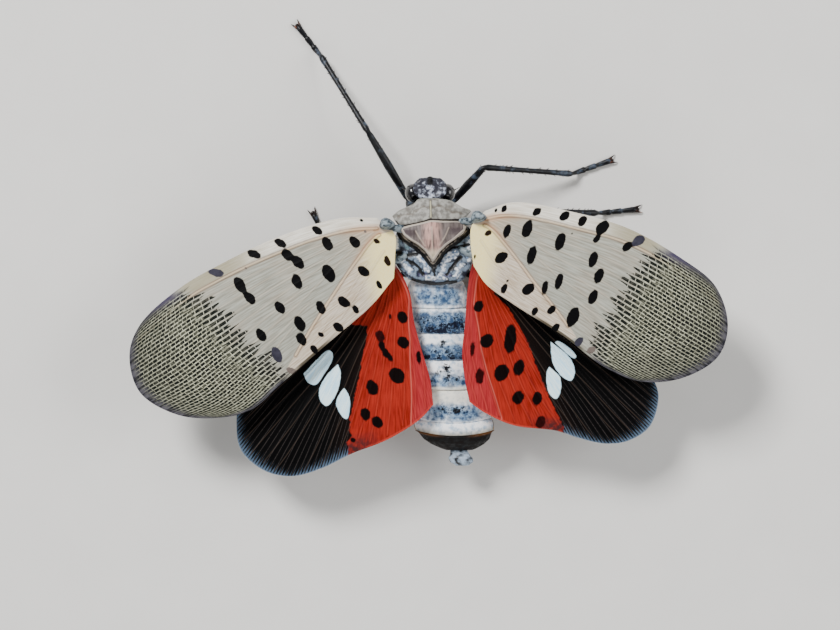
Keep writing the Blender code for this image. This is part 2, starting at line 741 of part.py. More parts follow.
def fuse(piece, extras):
    """Joins the extras to a piece as one closed body."""
    group = bpy.data.collections.new(piece.name + "_extras")
    bpy.context.scene.collection.children.link(group)
    for extra in extras:
        bpy.context.collection.objects.unlink(extra)
        extra.parent = None
        group.objects.link(extra)
    union = piece.modifiers.new("union", "BOOLEAN")
    union.operation = "UNION"
    union.operand_type = "COLLECTION"
    union.collection = group
    bpy.context.view_layer.update()
    joined = bpy.data.meshes.new_from_object(piece.evaluated_get(bpy.context.evaluated_depsgraph_get()))
    piece.modifiers.clear()
    piece.data = joined
    for extra in extras:
        bpy.data.objects.remove(extra, do_unlink=True)
    bpy.data.collections.remove(group)
    keep_largest(piece)


def keep_largest(piece):
    """Keeps only the largest closed surface of a piece."""
    work = bmesh.new()
    work.from_mesh(piece.data)
    unseen = set(work.verts)
    islands = []
    while unseen:
        front = [unseen.pop()]
        island = []
        while front:
            vertex = front.pop()
            island.append(vertex)
            for edge in vertex.link_edges:
                other = edge.other_vert(vertex)
                if other in unseen:
                    unseen.discard(other)
                    front.append(other)
        islands.append(island)
    islands.sort(key=len)
    for island in islands[:-1]:
        bmesh.ops.delete(work, geom=island, context="VERTS")
    bmesh.ops.triangulate(work, faces=work.faces)
    work.to_mesh(piece.data)
    work.free()


def spike(base, tip, radius, root):
    """A tapered four-sided spine from a sunk base to a fine tip."""
    line = [base, base.lerp(tip, SPIKE_BEND), tip]
    radii = (radius, radius * SPIKE_WAIST, SPIKE_TIP)
    return add_piece("spike", *tube(line, radii, SPIKE_SIDES), "black", root)


def past(start, end, distance):
    """The point so far along the way from start to end."""
    return start + (end - start).normalized() * distance


def limb(name, start, end, radii, root):
    """A thigh or a shin, drawn in at both ends."""
    line = [
        start,
        past(start, end, LIMB_NECK),
        start.lerp(end, 0.5),
        past(end, start, LIMB_END),
        past(end, start, -LIMB_END),
    ]
    return add_piece(name, *tube(line, radii), "black", root)


def make_leg(name, line, root):
    """One leg: hip, thigh, shin and foot, the last two with spines and claws."""
    hip_top, hip_end, knee, ankle, toe = [Vector(point) for point in line]
    hip = [hip_top, past(hip_end, hip_top, LIMB_END), past(hip_end, hip_top, -HIP_END)]
    add_piece(name + "_coxa", *tube(hip, HIP_RADII), "brown", root)
    limb(name + "_femur", past(hip_end, knee, HIP_RADII[1] + GAP), knee, THIGH_RADII, root)
    start = past(knee, ankle, THIGH_RADII[3] + GAP)
    tibia = limb(name + "_tibia", start, ankle, SHIN_RADII, root)
    if name.startswith("hindleg"):
        fuse(tibia, shin_spines(start, ankle, root))
    start = past(ankle, toe, SHIN_RADII[3] + GAP)
    foot = [start]
    for share in FOOT_SHARES:
        place = start.lerp(toe, share)
        place.z = FOOT_LEVEL
        foot.append(place)
    tarsus = add_piece(name + "_tarsus", *tube(foot, FOOT_RADII, flat=FLOOR), "black", root)
    fuse(tarsus, claws(start, toe, root))


def shin_spines(start, ankle, root):
    """A row of spines down the outer side of a hind shin and a crown at its end."""
    along = (ankle - start).normalized()
    outward = Vector((1.0 if ankle.x > 0 else -1.0, 0.0, SPINE_LIFT))
    outward = (outward - along * outward.dot(along)).normalized()
    spines = []
    for share in SPINE_PLACES:
        base = start.lerp(ankle, share)
        tip = base + (outward + along * SPINE_RAKE) * SPINE_LENGTH
        spines.append(spike(base, tip, SPINE_RADIUS, root))
    for turn in CROWN_TURNS:
        lean = Matrix.Rotation(radians(turn), 3, along) @ outward
        tip = ankle + (lean * CROWN_LENGTH + along * CROWN_RAKE) * SPINE_LENGTH
        spines.append(spike(ankle - along * CROWN_SUNK, tip, SPINE_RADIUS, root))
    return spines


def claws(start, toe, root):
    """The two claws of a foot, which part and bend down to the floor."""
    along = (toe - start).normalized()
    across = along.cross(Vector((0.0, 0.0, 1.0))).normalized()
    hooks = []
    for side in (-1, 1):
        base = toe - along * CLAW_SUNK + across * side * CLAW_APART
        tip = toe + along * CLAW_LENGTH + across * side * CLAW_SPREAD
        tip.z = FLOOR + CLAW_LEVEL
        hooks.append(spike(base, tip, CLAW_RADIUS, root))
    return hooks


def centre_outline(root):
    """Moves the whole animal so that the middle of its outline is the origin."""
    corners = [vertex.co for item in bpy.data.objects if item.type == "MESH" for vertex in item.data.vertices]
    middle_x = (min(c.x for c in corners) + max(c.x for c in corners)) / 2
    middle_y = (min(c.y for c in corners) + max(c.y for c in corners)) / 2
    root.location = (-middle_x, -middle_y, 0.0)


def main():
    clear_scene()
    root = bpy.data.objects.new("lanternfly", None)
    bpy.context.collection.objects.link(root)
    make_wings(root)
    make_chest(root)
    make_back(root)
    make_belly(root)
    make_head(root)
    for name, line in LEG_LINES.items():
        make_leg(name, line, root)
    centre_outline(root)


main()
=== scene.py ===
"""The looks of the spotted lanternfly: skins, wings and patterns over the solids.

Sizes and places are in millimetres in the plan of the part's own source: X
runs to her right wing, Y to her head and Z up from the floor. SHIFT and MM
turn them into the frame's metres.
"""

from math import cos, pi, sin

import bmesh
import bpy
import numpy as np
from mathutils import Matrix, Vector


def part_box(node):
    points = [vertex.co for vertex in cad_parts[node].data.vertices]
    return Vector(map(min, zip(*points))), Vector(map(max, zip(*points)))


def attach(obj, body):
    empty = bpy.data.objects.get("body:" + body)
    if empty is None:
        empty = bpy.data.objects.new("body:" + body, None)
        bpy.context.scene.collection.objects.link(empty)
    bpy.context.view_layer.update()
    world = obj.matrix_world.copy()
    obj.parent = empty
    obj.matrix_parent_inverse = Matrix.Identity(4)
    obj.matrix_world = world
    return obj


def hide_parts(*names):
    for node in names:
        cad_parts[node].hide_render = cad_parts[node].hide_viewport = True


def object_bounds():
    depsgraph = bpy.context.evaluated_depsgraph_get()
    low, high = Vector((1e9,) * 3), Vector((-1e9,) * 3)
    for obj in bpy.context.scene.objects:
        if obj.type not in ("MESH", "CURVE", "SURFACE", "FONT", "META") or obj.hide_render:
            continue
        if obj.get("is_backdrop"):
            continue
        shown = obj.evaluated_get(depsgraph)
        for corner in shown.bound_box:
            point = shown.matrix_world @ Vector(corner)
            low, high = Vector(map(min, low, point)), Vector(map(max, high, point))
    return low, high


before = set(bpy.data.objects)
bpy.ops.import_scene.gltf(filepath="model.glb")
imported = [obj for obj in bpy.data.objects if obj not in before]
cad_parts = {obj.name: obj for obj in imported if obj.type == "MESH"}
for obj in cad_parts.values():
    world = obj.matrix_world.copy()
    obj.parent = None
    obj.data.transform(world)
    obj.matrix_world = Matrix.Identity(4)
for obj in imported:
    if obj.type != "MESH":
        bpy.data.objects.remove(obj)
cad_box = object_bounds()

MM = 0.001
GAP = 0.3
FAR = 99.0
TUBE_SIDES = 24

# The wings as they are in the source of the part
FOREWING_ROOT_HEIGHT = 6.65
FOREWING_SPAN = 21.4
FOREWING_RISE = 1.1
FOREWING_DROOP = 1.7
FOREWING_CAMBER = 0.016
HINDWING_ROOT_HEIGHT = 5.75
HINDWING_FALL = 0.085
HINDWING_CURVE = 0.0035
HINDWING_FLAT = 2.0
SIDE_SAMPLES = 160

FOREWING_LEFT = {
    "leading": [
        (-3.75, 2.36), (-6.39, 2.31), (-10.57, 1.07), (-14.57, -0.79), (-17.79, -2.64), (-20.68, -5.29),
    ],
    "outer": [(-21.43, -7.43), (-20.68, -10.11), (-18.00, -11.71)],
    "trailing": [
        (-15.11, -11.93), (-12.75, -11.36), (-10.29, -9.25), (-6.86, -6.29), (-4.07, -3.86), (-2.50, -1.93),
    ],
    "base": [(-2.42, -0.43), (-2.45, 1.20)],
    "root": (-3.2, 1.6),
    "tip": (-20.2, -9.0),
}
FOREWING_RIGHT = {
    "leading": [(4.00, 2.86), (6.00, 3.46), (10.19, 2.79), (14.21, 1.61), (18.00, -0.51), (20.46, -2.50)],
    "outer": [(21.36, -5.31), (20.64, -7.57), (18.01, -9.11)],
    "trailing": [(15.00, -9.30), (12.41, -8.21), (9.61, -6.09), (6.04, -3.82), (4.09, -2.40), (3.18, -1.07)],
    "base": [(2.97, 0.57), (3.05, 1.80)],
    "root": (3.8, 1.9),
    "tip": (20.6, -6.0),
}
HINDWING_LEFT = {
    "leading": [(-2.75, -0.55), (-5.70, -2.60), (-9.40, -5.80), (-12.30, -8.70), (-13.70, -10.80)],
    "outer": [(-13.94, -12.40), (-13.63, -14.33), (-11.95, -15.81)],
    "trailing": [
        (-9.86, -16.21), (-7.66, -15.59), (-5.57, -14.55), (-3.05, -13.55), (-0.64, -12.04), (0.31, -10.99),
    ],
    "base": [(0.09, -9.21), (-0.64, -6.69), (-1.09, -4.93), (-1.39, -2.93), (-2.10, -1.40)],
}
HINDWING_RIGHT = {
    "leading": [(3.40, -0.15), (6.40, -1.60), (10.40, -3.70), (14.00, -6.60), (16.10, -9.00)],
    "outer": [(16.63, -10.38), (16.00, -12.60), (14.40, -13.65)],
    "trailing": [
        (12.70, -13.84), (10.76, -13.42), (9.19, -12.90), (6.05, -12.48), (3.95, -11.54), (2.91, -10.81),
    ],
    "base": [(2.64, -9.55), (2.38, -7.43), (2.59, -5.14), (2.72, -3.20), (3.00, -1.30)],
}
MIDDLE_LINE = [
    (0.05, 5.3), (0.10, 3.5), (0.25, 0.0), (0.55, -2.2), (1.10, -6.5), (1.86, -12.8), (2.45, -15.3),
]
TEGULA_SIZE = (0.62, 0.46, 0.55)
TEGULA_LEFT = (-3.02, 1.92, FOREWING_ROOT_HEIGHT + 0.04 + GAP)
TEGULA_RIGHT = (3.50, 2.42, FOREWING_ROOT_HEIGHT + 0.04 + GAP)
TEGULA_SINK = 0.40

# The roots of the wings, from the left tegula; X runs towards the body
FOREWING_HINGE = [(1.40, -0.35, -1.35), (0.85, -0.30, -0.85), (0.35, -0.28, -0.52), (-0.30, -0.30, -0.40)]
HINDWING_HINGE = [(1.30, -2.30, -1.60), (0.75, -2.55, -1.36), (0.20, -2.75, -1.27), (-0.30, -3.05, -1.25)]
HINGE_RADII = (0.46, 0.42, 0.34, 0.12)

# The membranes: thickness, cells along and across a wing, and the relief
MEMBRANE = 0.10
FOREWING_CELLS = (280, 128)
HINDWING_CELLS = (240, 200)
MAIN_VEIN = (0.085, 0.06)
SOFT_VEIN = (0.070, 0.03)
FINE_VEIN = (0.055, 0.02)
SAG = 0.02
SAG_REACH = 0.5
RELIEF_FADE = 0.3
MAP_HEIGHT = 0.48
MAP_MARGIN = 0.01

# Lengths that the streaks follow: a forewing's length and width, and the
# sweep of a hindwing for each radian round its root
FOREWING_LIE = (20.0, 9.6)
HINDWING_LIE = 15.0

# Veins run through places (u, v): u from root to tip, v from the leading edge
# to the trailing edge
FOREWING_STEMS = [
    [(0.04, 0.21), (0.12, 0.17), (0.25, 0.145), (0.40, 0.135), (0.56, 0.12), (0.76, 0.12), (0.96, 0.16)],
    [(0.05, 0.31), (0.09, 0.36), (0.15, 0.47), (0.24, 0.61), (0.30, 0.685), (0.41, 0.79), (0.53, 0.89)],
]
FOREWING_VEINS = [
    [(0.20, 0.27), (0.40, 0.28), (0.60, 0.29), (0.80, 0.30), (0.95, 0.31)],
    [(0.30, 0.40), (0.45, 0.43), (0.60, 0.45), (0.80, 0.46), (0.95, 0.47)],
    [(0.22, 0.43), (0.38, 0.55), (0.60, 0.61), (0.80, 0.63), (0.95, 0.63)],
    [(0.46, 0.69), (0.60, 0.76), (0.78, 0.80), (0.93, 0.80)],
    [(0.05, 0.52), (0.10, 0.64), (0.20, 0.79), (0.30, 0.89)],
]
FOREWING_FINE_VEINS = [
    [(0.06, 0.21), (0.20, 0.27)],
    [(0.06, 0.23), (0.16, 0.31), (0.30, 0.40)],
    [(0.06, 0.25), (0.12, 0.33), (0.22, 0.43)],
    [(0.26, 0.345), (0.42, 0.355), (0.60, 0.37), (0.80, 0.38)],
    [(0.34, 0.475), (0.50, 0.51), (0.64, 0.53), (0.80, 0.545)],
    [(0.36, 0.60), (0.50, 0.665), (0.62, 0.69), (0.80, 0.715)],
    [(0.24, 0.215), (0.42, 0.205), (0.60, 0.20), (0.78, 0.205)],
    [(0.12, 0.55), (0.20, 0.69), (0.30, 0.80), (0.40, 0.88)],
]

# The line behind which the base of a forewing is cream, as (u, v), and the v
# that stands for none beyond its end
CLAVUS = [(0.06, 0.30), (0.127, 0.427), (0.21, 0.56), (0.30, 0.67), (0.40, 0.77), (0.50, 0.855), (0.60, 0.93)]
NO_CLAVUS = 2.0

# The fan of veins of a hindwing
HINDWING_VEIN_ROOT = (0.02, 0.05)
HINDWING_VEIN_ENDS = [
    (0.96, 0.14), (0.96, 0.40), (0.96, 0.66), (0.88, 0.93), (0.66, 0.955), (0.46, 0.96), (0.24, 0.965),
]
HINDWING_FINE_ENDS = [
    (0.97, 0.27), (0.97, 0.53), (0.97, 0.79), (0.78, 0.96), (0.56, 0.97), (0.35, 0.97), (0.15, 0.97),
    (0.07, 0.97),
]
HINDWING_VEIN_BEND = 0.05

# Markings: middle x and y, width and height of each spot, by the kind of its
# ink. Where spots touch they blend, and they lean by a share of their height
BLACK, BROWN, VIOLET, FAINT = 0.0, 1.0, 2.0, 3.0
SPOTS_FOREWING_LEFT = {
    BLACK: [
        (-4.81, 2.17, 0.21, 0.21), (-7.97, 1.47, 0.71, 0.64), (-10.59, 0.57, 0.86, 0.64),
        (-12.48, -0.23, 1.00, 0.64), (-7.23, 0.50, 0.79, 1.00), (-5.29, 0.62, 0.79, 0.86),
        (-10.11, -0.29, 0.86, 0.86), (-9.32, -0.82, 0.93, 0.93), (-9.41, -2.19, 0.79, 1.07),
        (-7.16, -1.59, 1.00, 1.29), (-4.67, -1.45, 0.86, 0.79), (-3.56, -2.41, 0.43, 0.57),
        (-6.07, -3.64, 0.93, 0.79), (-5.23, -4.17, 0.50, 0.57), (-7.71, -4.05, 0.71, 0.93),
        (-10.60, -4.05, 0.79, 0.86), (-9.21, -5.19, 0.86, 1.07), (-9.10, -6.29, 0.79, 0.93),
        (-6.49, -5.43, 0.79, 0.71), (-7.71, -5.96, 0.43, 0.36), (-8.20, -7.02, 0.57, 0.64),
        (-11.96, -5.99, 0.79, 0.93), (-13.50, -2.39, 0.86, 1.07), (-12.75, -3.36, 0.79, 0.86),
        (-13.15, -2.90, 0.36, 0.50),
    ],
    BROWN: [(-3.74, 0.69, 0.50, 0.36), (-2.97, -0.73, 0.50, 0.71)],
    VIOLET: [(-15.21, -1.54, 1.21, 0.64), (-10.86, -7.39, 0.79, 1.14)],
    FAINT: [(-9.79, -8.56, 0.79, 0.50), (-13.05, -1.26, 0.21, 0.21), (-4.54, 1.38, 0.21, 0.21)],
}
SPOTS_FOREWING_RIGHT = {
    BLACK: [
        (4.76, 2.89, 0.21, 0.29), (5.36, 3.02, 0.43, 0.50), (7.69, 2.79, 0.64, 0.64),
        (9.66, 2.48, 0.79, 0.71), (10.94, 2.14, 0.64, 0.79), (12.36, 1.66, 1.00, 1.00),
        (5.56, 1.41, 0.57, 1.00), (7.01, 1.57, 0.79, 1.29), (9.34, 0.64, 0.79, 1.36),
        (10.21, 1.24, 0.14, 0.14), (11.95, 0.86, 0.50, 0.57), (5.14, -0.48, 0.93, 0.86),
        (7.31, -0.34, 0.71, 1.36), (11.70, -0.61, 0.71, 1.14), (12.10, -1.76, 0.71, 1.07),
        (11.70, -3.28, 0.71, 1.07), (9.24, -2.21, 0.64, 1.14), (8.25, -2.61, 0.50, 1.00),
        (7.07, -2.74, 0.93, 0.86), (5.60, -2.12, 0.21, 0.21), (5.33, -2.71, 0.50, 0.64),
        (7.53, -4.31, 0.50, 0.64), (8.73, -4.21, 0.64, 0.64), (9.05, -5.46, 0.57, 0.64),
        (10.27, -4.73, 0.93, 1.43), (14.12, 0.30, 0.71, 0.71), (3.26, -0.43, 0.14, 0.36),
    ],
    BROWN: [(4.21, 1.26, 0.50, 0.43)],
    VIOLET: [(14.93, 0.72, 0.93, 0.79), (10.71, -6.48, 0.64, 0.64)],
    FAINT: [(11.60, -7.07, 0.64, 0.57)],
}
SPOTS_HINDWING_LEFT = {
    BLACK: [
        (-1.89, -4.75, 0.79, 0.86), (-1.84, -6.54, 0.86, 0.86), (-2.29, -8.91, 1.14, 1.14),
        (-4.07, -9.79, 0.86, 1.14), (-4.57, -11.71, 0.71, 0.93), (-3.70, -12.27, 0.79, 0.86),
        (-0.74, -7.64, 0.36, 0.93), (-3.39, -6.79, 0.43, 0.64), (-3.11, -7.29, 0.50, 0.64),
        (-2.79, -7.64, 0.43, 0.50), (-5.46, -13.55, 0.36, 0.36),
    ],
    BROWN: [(-2.79, -4.71, 0.21, 0.36), (-3.52, -6.07, 0.64, 0.86)],
}
SPOTS_HINDWING_RIGHT = {
    BLACK: [
        (3.56, -3.94, 0.71, 0.86), (4.13, -6.43, 1.00, 1.00), (5.84, -6.30, 0.86, 2.14),
        (5.21, -8.71, 1.07, 1.21), (6.46, -8.34, 0.79, 1.14), (6.39, -10.49, 0.86, 1.00),
        (7.78, -10.57, 0.71, 1.00),
    ],
    BROWN: [(3.11, -7.04, 0.36, 1.00), (3.64, -8.97, 0.64, 1.14), (8.04, -12.27, 0.71, 0.86)],
}
FOREWING_SPOT_LEAN = 0.4
HINDWING_SPOT_LEAN = 0.2
SPOT_BLEND = 0.08
PATCHES_LEFT = [
    [
        (-9.02, -8.79), (-8.75, -9.40), (-8.19, -9.60), (-7.50, -8.75), (-6.90, -7.66), (-6.96, -7.30),
        (-7.25, -7.10), (-8.00, -7.72),
    ],
    [
        (-6.55, -8.12), (-6.36, -8.70), (-6.44, -9.50), (-6.85, -10.60), (-7.39, -11.12), (-7.82, -10.70),
        (-7.88, -9.90), (-7.30, -8.85),
    ],
    [
        (-6.10, -9.80), (-5.76, -10.40), (-5.68, -11.10), (-5.92, -12.07), (-6.40, -11.65), (-6.68, -10.95),
        (-6.52, -10.40),
    ],
]
PATCHES_RIGHT = [
    [(9.04, -6.54), (9.29, -6.43), (10.61, -7.50), (10.46, -7.68)],
    [
        (8.77, -6.50), (10.14, -7.66), (10.50, -8.61), (10.24, -9.29), (9.61, -9.02), (8.98, -8.19),
        (8.82, -7.45),
    ],
    [
        (8.66, -8.29), (9.40, -9.02), (9.50, -9.86), (9.19, -10.59), (8.77, -10.39), (8.46, -9.44),
        (8.50, -8.61),
    ],
]

# Borders across a wing, as (v, u): where the net starts on a forewing, where
# the red ends on a hindwing and where a hindwing folds
NET_LEFT = [
    (0.0, 0.80), (0.092, 0.738), (0.207, 0.653), (0.358, 0.617), (0.521, 0.605), (0.686, 0.593),
    (0.929, 0.608),
]
NET_RIGHT = [
    (0.0, 0.74), (0.101, 0.669), (0.324, 0.591), (0.512, 0.585), (0.677, 0.605), (0.875, 0.642),
    (0.948, 0.704),
]
RED_LEFT = [
    (0.0, 0.30), (0.208, 0.30), (0.278, 0.23), (0.376, 0.258), (0.436, 0.291), (0.513, 0.324), (0.601, 0.385),
    (0.672, 0.429), (0.724, 0.469), (0.864, 0.534), (0.886, 0.566), (1.0, 0.62),
]
RED_RIGHT = [
    (0.0, 0.12), (0.194, 0.125), (0.241, 0.202), (0.314, 0.252), (0.393, 0.311), (0.485, 0.354),
    (0.602, 0.428), (0.708, 0.498), (0.809, 0.573), (0.924, 0.655), (1.0, 0.71),
]
FOLD_LEFT = [(0.294, 0.011), (0.527, 0.043), (0.739, 0.107), (0.992, 0.189)]
FOLD_RIGHT = [(0.32, 0.036), (0.568, 0.097), (0.742, 0.165), (0.976, 0.257)]

# The trunk: Y, half width, top, bottom and waist of its rings
TRUNK_RINGS = [
    (3.90, 0.95, 5.05, 3.50, 4.25),
    (3.40, 1.45, 5.25, 3.00, 4.10),
    (2.60, 2.00, 5.35, 2.50, 4.10),
    (1.20, 2.35, 5.40, 2.35, 4.10),
    (-0.60, 2.30, 5.40, 2.35, 4.00),
    (-1.70, 2.05, 5.25, 2.45, 3.70),
    (-2.05, 2.05, 4.95, 2.60, 3.50),
    (-5.00, 2.45, 5.15, 2.10, 3.30),
    (-8.00, 2.70, 5.08, 1.88, 3.30),
    (-11.00, 2.88, 4.80, 1.85, 3.30),
    (-12.95, 2.92, 4.55, 1.90, 3.25),
    (-13.10, 2.68, 4.25, 2.05, 3.10),
    (-13.60, 2.40, 4.00, 1.95, 2.90),
    (-14.00, 1.90, 3.70, 1.90, 2.80),
    (-14.32, 1.25, 3.35, 1.95, 2.75),
    (-14.45, 0.85, 3.10, 2.10, 2.70),
]
TRUNK_SIDES = 160
SQUARENESS = 2.3
BELLY_START = -2.05
BELLY_PLATES = [1.95, 1.80, 1.90, 2.10, 2.25, 0.90]
BELLY_STEP = 0.20
BELLY_ROLL = 0.07
STEP_SHARE = 0.10
PLATE_END_DROP = 0.05
PLATE_END_SHARE = 0.06
CHEST_ROW = 0.12
TAIL_ROW = 0.06
SEAM_DEPTH = 0.05
SEAM_HEIGHT = 0.12
SEAM_WIDTH = 0.07
BELLY_BOW = [(2.1, 0.0), (2.6, 0.10), (9.0, 0.15), (12.95, 0.38), (13.6, 0.28), (14.3, 0.0)]
PLATE_SHARES = (
    0.0, 0.02, 0.05, 0.08, 0.12, 0.2, 0.3, 0.4, 0.5, 0.6, 0.7, 0.8, 0.88, 0.94, 0.97, 0.985, 0.995,
)
BELLY_DUSK = [
    (1.0, 0.4), (-2.15, 0.3), (-2.60, 0.70), (-3.30, 0.82), (-3.74, 0.70), (-3.86, 0.0), (-4.10, 0.1),
    (-4.45, 0.85), (-5.20, 1.00), (-5.74, 1.00), (-5.84, 0.0), (-6.35, 0.0), (-6.70, 0.70), (-7.25, 0.92),
    (-7.64, 1.00), (-7.74, 0.0), (-8.20, 0.0), (-8.60, 0.35), (-9.15, 0.85), (-9.50, 0.6), (-9.70, 0.0),
    (-10.60, 0.0), (-10.90, 0.65), (-11.45, 0.75), (-11.95, 0.50), (-12.05, 0.0), (-12.95, 0.0),
]
BELLY_SPOTS = [
    (1.00, -6.70, 0.35, 0.45), (1.25, -8.35, 0.40, 0.50), (1.35, -9.05, 0.30, 0.45),
    (2.05, -9.15, 0.45, 0.25), (0.60, -8.75, 0.45, 0.25), (1.90, -11.45, 0.95, 0.35),
    (1.35, -7.20, 0.25, 0.30), (0.95, -11.30, 0.35, 0.30),
]
FLAP_ROWS = 40
FLAP_SIDES = 64
FLAP_HEIGHT = 2.68
FLAP_STEM = 0.45
FLAP_STEM_SIZE = 0.8
FLAP_STEM_HEIGHT = 2.75
FLAP_RINGS = [
    (-14.75, 0.70, 3.15, 2.20), (-15.00, 0.84, 3.25, 2.15), (-15.30, 0.80, 3.15, 2.20),
    (-15.55, 0.45, 2.95, 2.45),
]

# Plates of the back, outlined from their left front corner round by the right
PRONOTUM_OUTLINE = [
    (-2.64, 2.53), (-2.13, 2.93), (-1.10, 3.39), (-0.76, 3.72), (0.10, 3.78), (0.86, 3.74),
    (1.57, 3.61), (2.39, 3.16), (3.01, 2.90), (2.79, 2.59), (2.44, 2.24),
    (1.00, 2.19), (0.10, 2.24), (-0.53, 2.04), (-1.50, 1.84), (-2.07, 1.79), (-2.41, 2.13),
]
PRONOTUM_BOTTOM = 5.0
PRONOTUM_SPINE = [(1.80, 6.93), (2.30, 6.90), (3.00, 6.70), (3.80, 6.28)]
PRONOTUM_FALL = (0.95, 2.75, 1.5)
PRONOTUM_CENTRE = (0.10, 2.85)
PRONOTUM_INSET = 0.30
PRONOTUM_PITS = [(-1.50, 2.93, 0.35, 0.25), (1.50, 3.14, 0.35, 0.25)]
MESONOTUM_OUTLINE = [
    (-2.10, 1.66), (-1.45, 1.84), (-0.50, 2.04), (0.15, 2.20), (1.00, 2.16), (1.85, 2.20), (2.60, 2.16),
    (2.60, 1.50), (1.85, 0.82), (1.25, 0.40), (0.80, -0.05), (0.52, -0.50), (0.29, -0.80),
    (0.00, -0.42), (-0.30, 0.00), (-0.81, 0.43), (-1.30, 0.72), (-1.80, 1.12),
]
MESONOTUM_BOTTOM = 5.7
MESONOTUM_SPINE = [(-0.85, 6.50), (-0.20, 6.92), (0.80, 7.25), (1.50, 7.20), (2.20, 6.88)]
MESONOTUM_FALL = (0.85, 2.30, 1.4)
MESONOTUM_CENTRE = (0.25, 1.05)
MESONOTUM_INSET = 0.10
MESONOTUM_PATCHES = [(-1.50, 1.30, 0.70, 0.40), (1.86, 1.45, 0.70, 0.40)]
METANOTUM_OUTLINE = [
    (-2.30, 1.45), (0.20, 1.55), (2.85, 1.75), (3.10, 0.60), (3.10, -0.50), (2.80, -1.50), (2.42, -2.05),
    (1.60, -2.35), (0.60, -2.45), (-0.60, -2.30), (-1.45, -1.95), (-2.15, -1.25), (-2.55, -0.40),
    (-2.55, 0.50),
]
METANOTUM_BOTTOM = 4.9
METANOTUM_SPINE = [(-2.50, 5.30), (-1.80, 5.72), (0.00, 5.95), (1.80, 5.90)]
METANOTUM_FALL = (0.42, 3.00, 2.0)
METANOTUM_CENTRE = (0.30, -0.30)
METANOTUM_INSET = 0.12
METANOTUM_LOBES = [(-1.50, 0.64, 0.57, 0.86), (2.00, 0.64, 0.71, 0.57)]
METANOTUM_VIOLET = [(-0.43, -1.71, 0.50, 0.35), (0.48, -2.02, 0.40, 0.25), (1.30, -1.70, 0.50, 0.35)]
METANOTUM_DARK = [
    [(-2.43, -0.03), (-1.56, -0.29), (-0.85, -0.23)],
    [(1.50, 0.28), (2.32, 0.33), (2.83, 0.48)],
    [(-1.56, -0.64), (-0.85, -1.05), (-0.44, -1.66)],
    [(2.32, -0.44), (1.70, -1.05), (1.29, -1.66)],
    [(-1.20, -2.05), (0.48, -2.30), (1.95, -2.15)],
    [(0.30, -0.95), (0.40, -1.70)],
]
METANOTUM_PALE = [
    [(-0.95, -0.34), (-0.44, -0.64), (-0.13, -1.26)],
    [(1.91, -0.13), (1.19, -0.64), (0.99, -1.46)],
    [(-2.30, 1.10), (-2.36, 0.30)],
    [(2.85, 1.10), (2.90, -0.60)],
    [(-1.85, -0.75), (-1.35, -1.45)],
    [(2.35, -1.00), (1.95, -1.75)],
    [(-0.10, -1.95), (0.30, -1.85)],
    [(0.75, -1.90), (1.00, -2.00)],
]
PRONOTUM_KEELS = [[(0.10, 3.55), (0.12, 3.0), (0.13, 2.40)]]
PRONOTUM_FOLDS = [
    [(-1.10, 2.80), (-0.74, 2.98), (-0.44, 3.17), (-0.03, 3.08)],
    [(0.28, 3.12), (0.79, 3.22), (1.09, 3.08), (1.40, 2.92)],
    [(-2.20, 2.45), (-1.60, 2.62), (-1.10, 2.60)],
    [(1.50, 2.72), (2.00, 2.76), (2.50, 2.62)],
]
MESONOTUM_KEELS = [
    [(0.20, 1.70), (0.23, 0.80), (0.27, -0.2)],
    [(-0.95, 1.40), (-0.70, 0.95), (-0.30, 0.35)],
    [(1.40, 1.65), (1.15, 1.05), (0.75, 0.40)],
]

# Relief of the plates: the rise and width of ridges and grooves
PRONOTUM_KEEL = (0.09, 0.09)
PRONOTUM_FOLD = (-0.05, 0.08)
PRONOTUM_PIT = (-0.10, 0.15)
MESONOTUM_KEEL = (0.05, 0.10)
MESONOTUM_RIM = (0.04, 0.06)
MESONOTUM_RIM_INSET = 0.10
METANOTUM_LOBE_RISE = 0.08
METANOTUM_LOBE_SLOPE = 0.25
METANOTUM_RIDGE = (0.07, 0.18)
METANOTUM_GROOVE = (-0.08, 0.12)
VEE_RIDGE = (0.06, 0.08)
VEE_RIDGE_PLACE = 0.10
VEE_GROOVE = (-0.08, 0.10)
VEE_GROOVE_PLACE = 0.30

# Every plate: the spokes and rows of its mesh, its rounded rim, its lip and
# the colour of the wall under it
PLATE_SPOKES = 180
PLATE_ROWS = 48
PLATE_ROUND = 0.14
PLATE_ROUND_DEPTH = 0.08
PLATE_LIP = 0.14
PLATE_WALL = (26, 24, 26)

# The head: height, half width, front and back of its rings
HEAD_MIDDLE = 0.08
HEAD_RINGS = [
    (5.98, 1.00, 5.12, 3.80), (5.84, 1.16, 5.27, 3.70), (5.50, 1.10, 5.29, 3.80), (5.00, 0.98, 5.22, 4.08),
    (4.40, 0.96, 5.06, 3.75), (3.80, 0.94, 4.84, 3.73), (3.20, 0.84, 4.52, 3.72), (2.75, 0.66, 4.22, 3.55),
    (2.40, 0.50, 3.98, 3.35), (2.12, 0.34, 3.72, 3.12),
]
HEAD_SIDES = 120

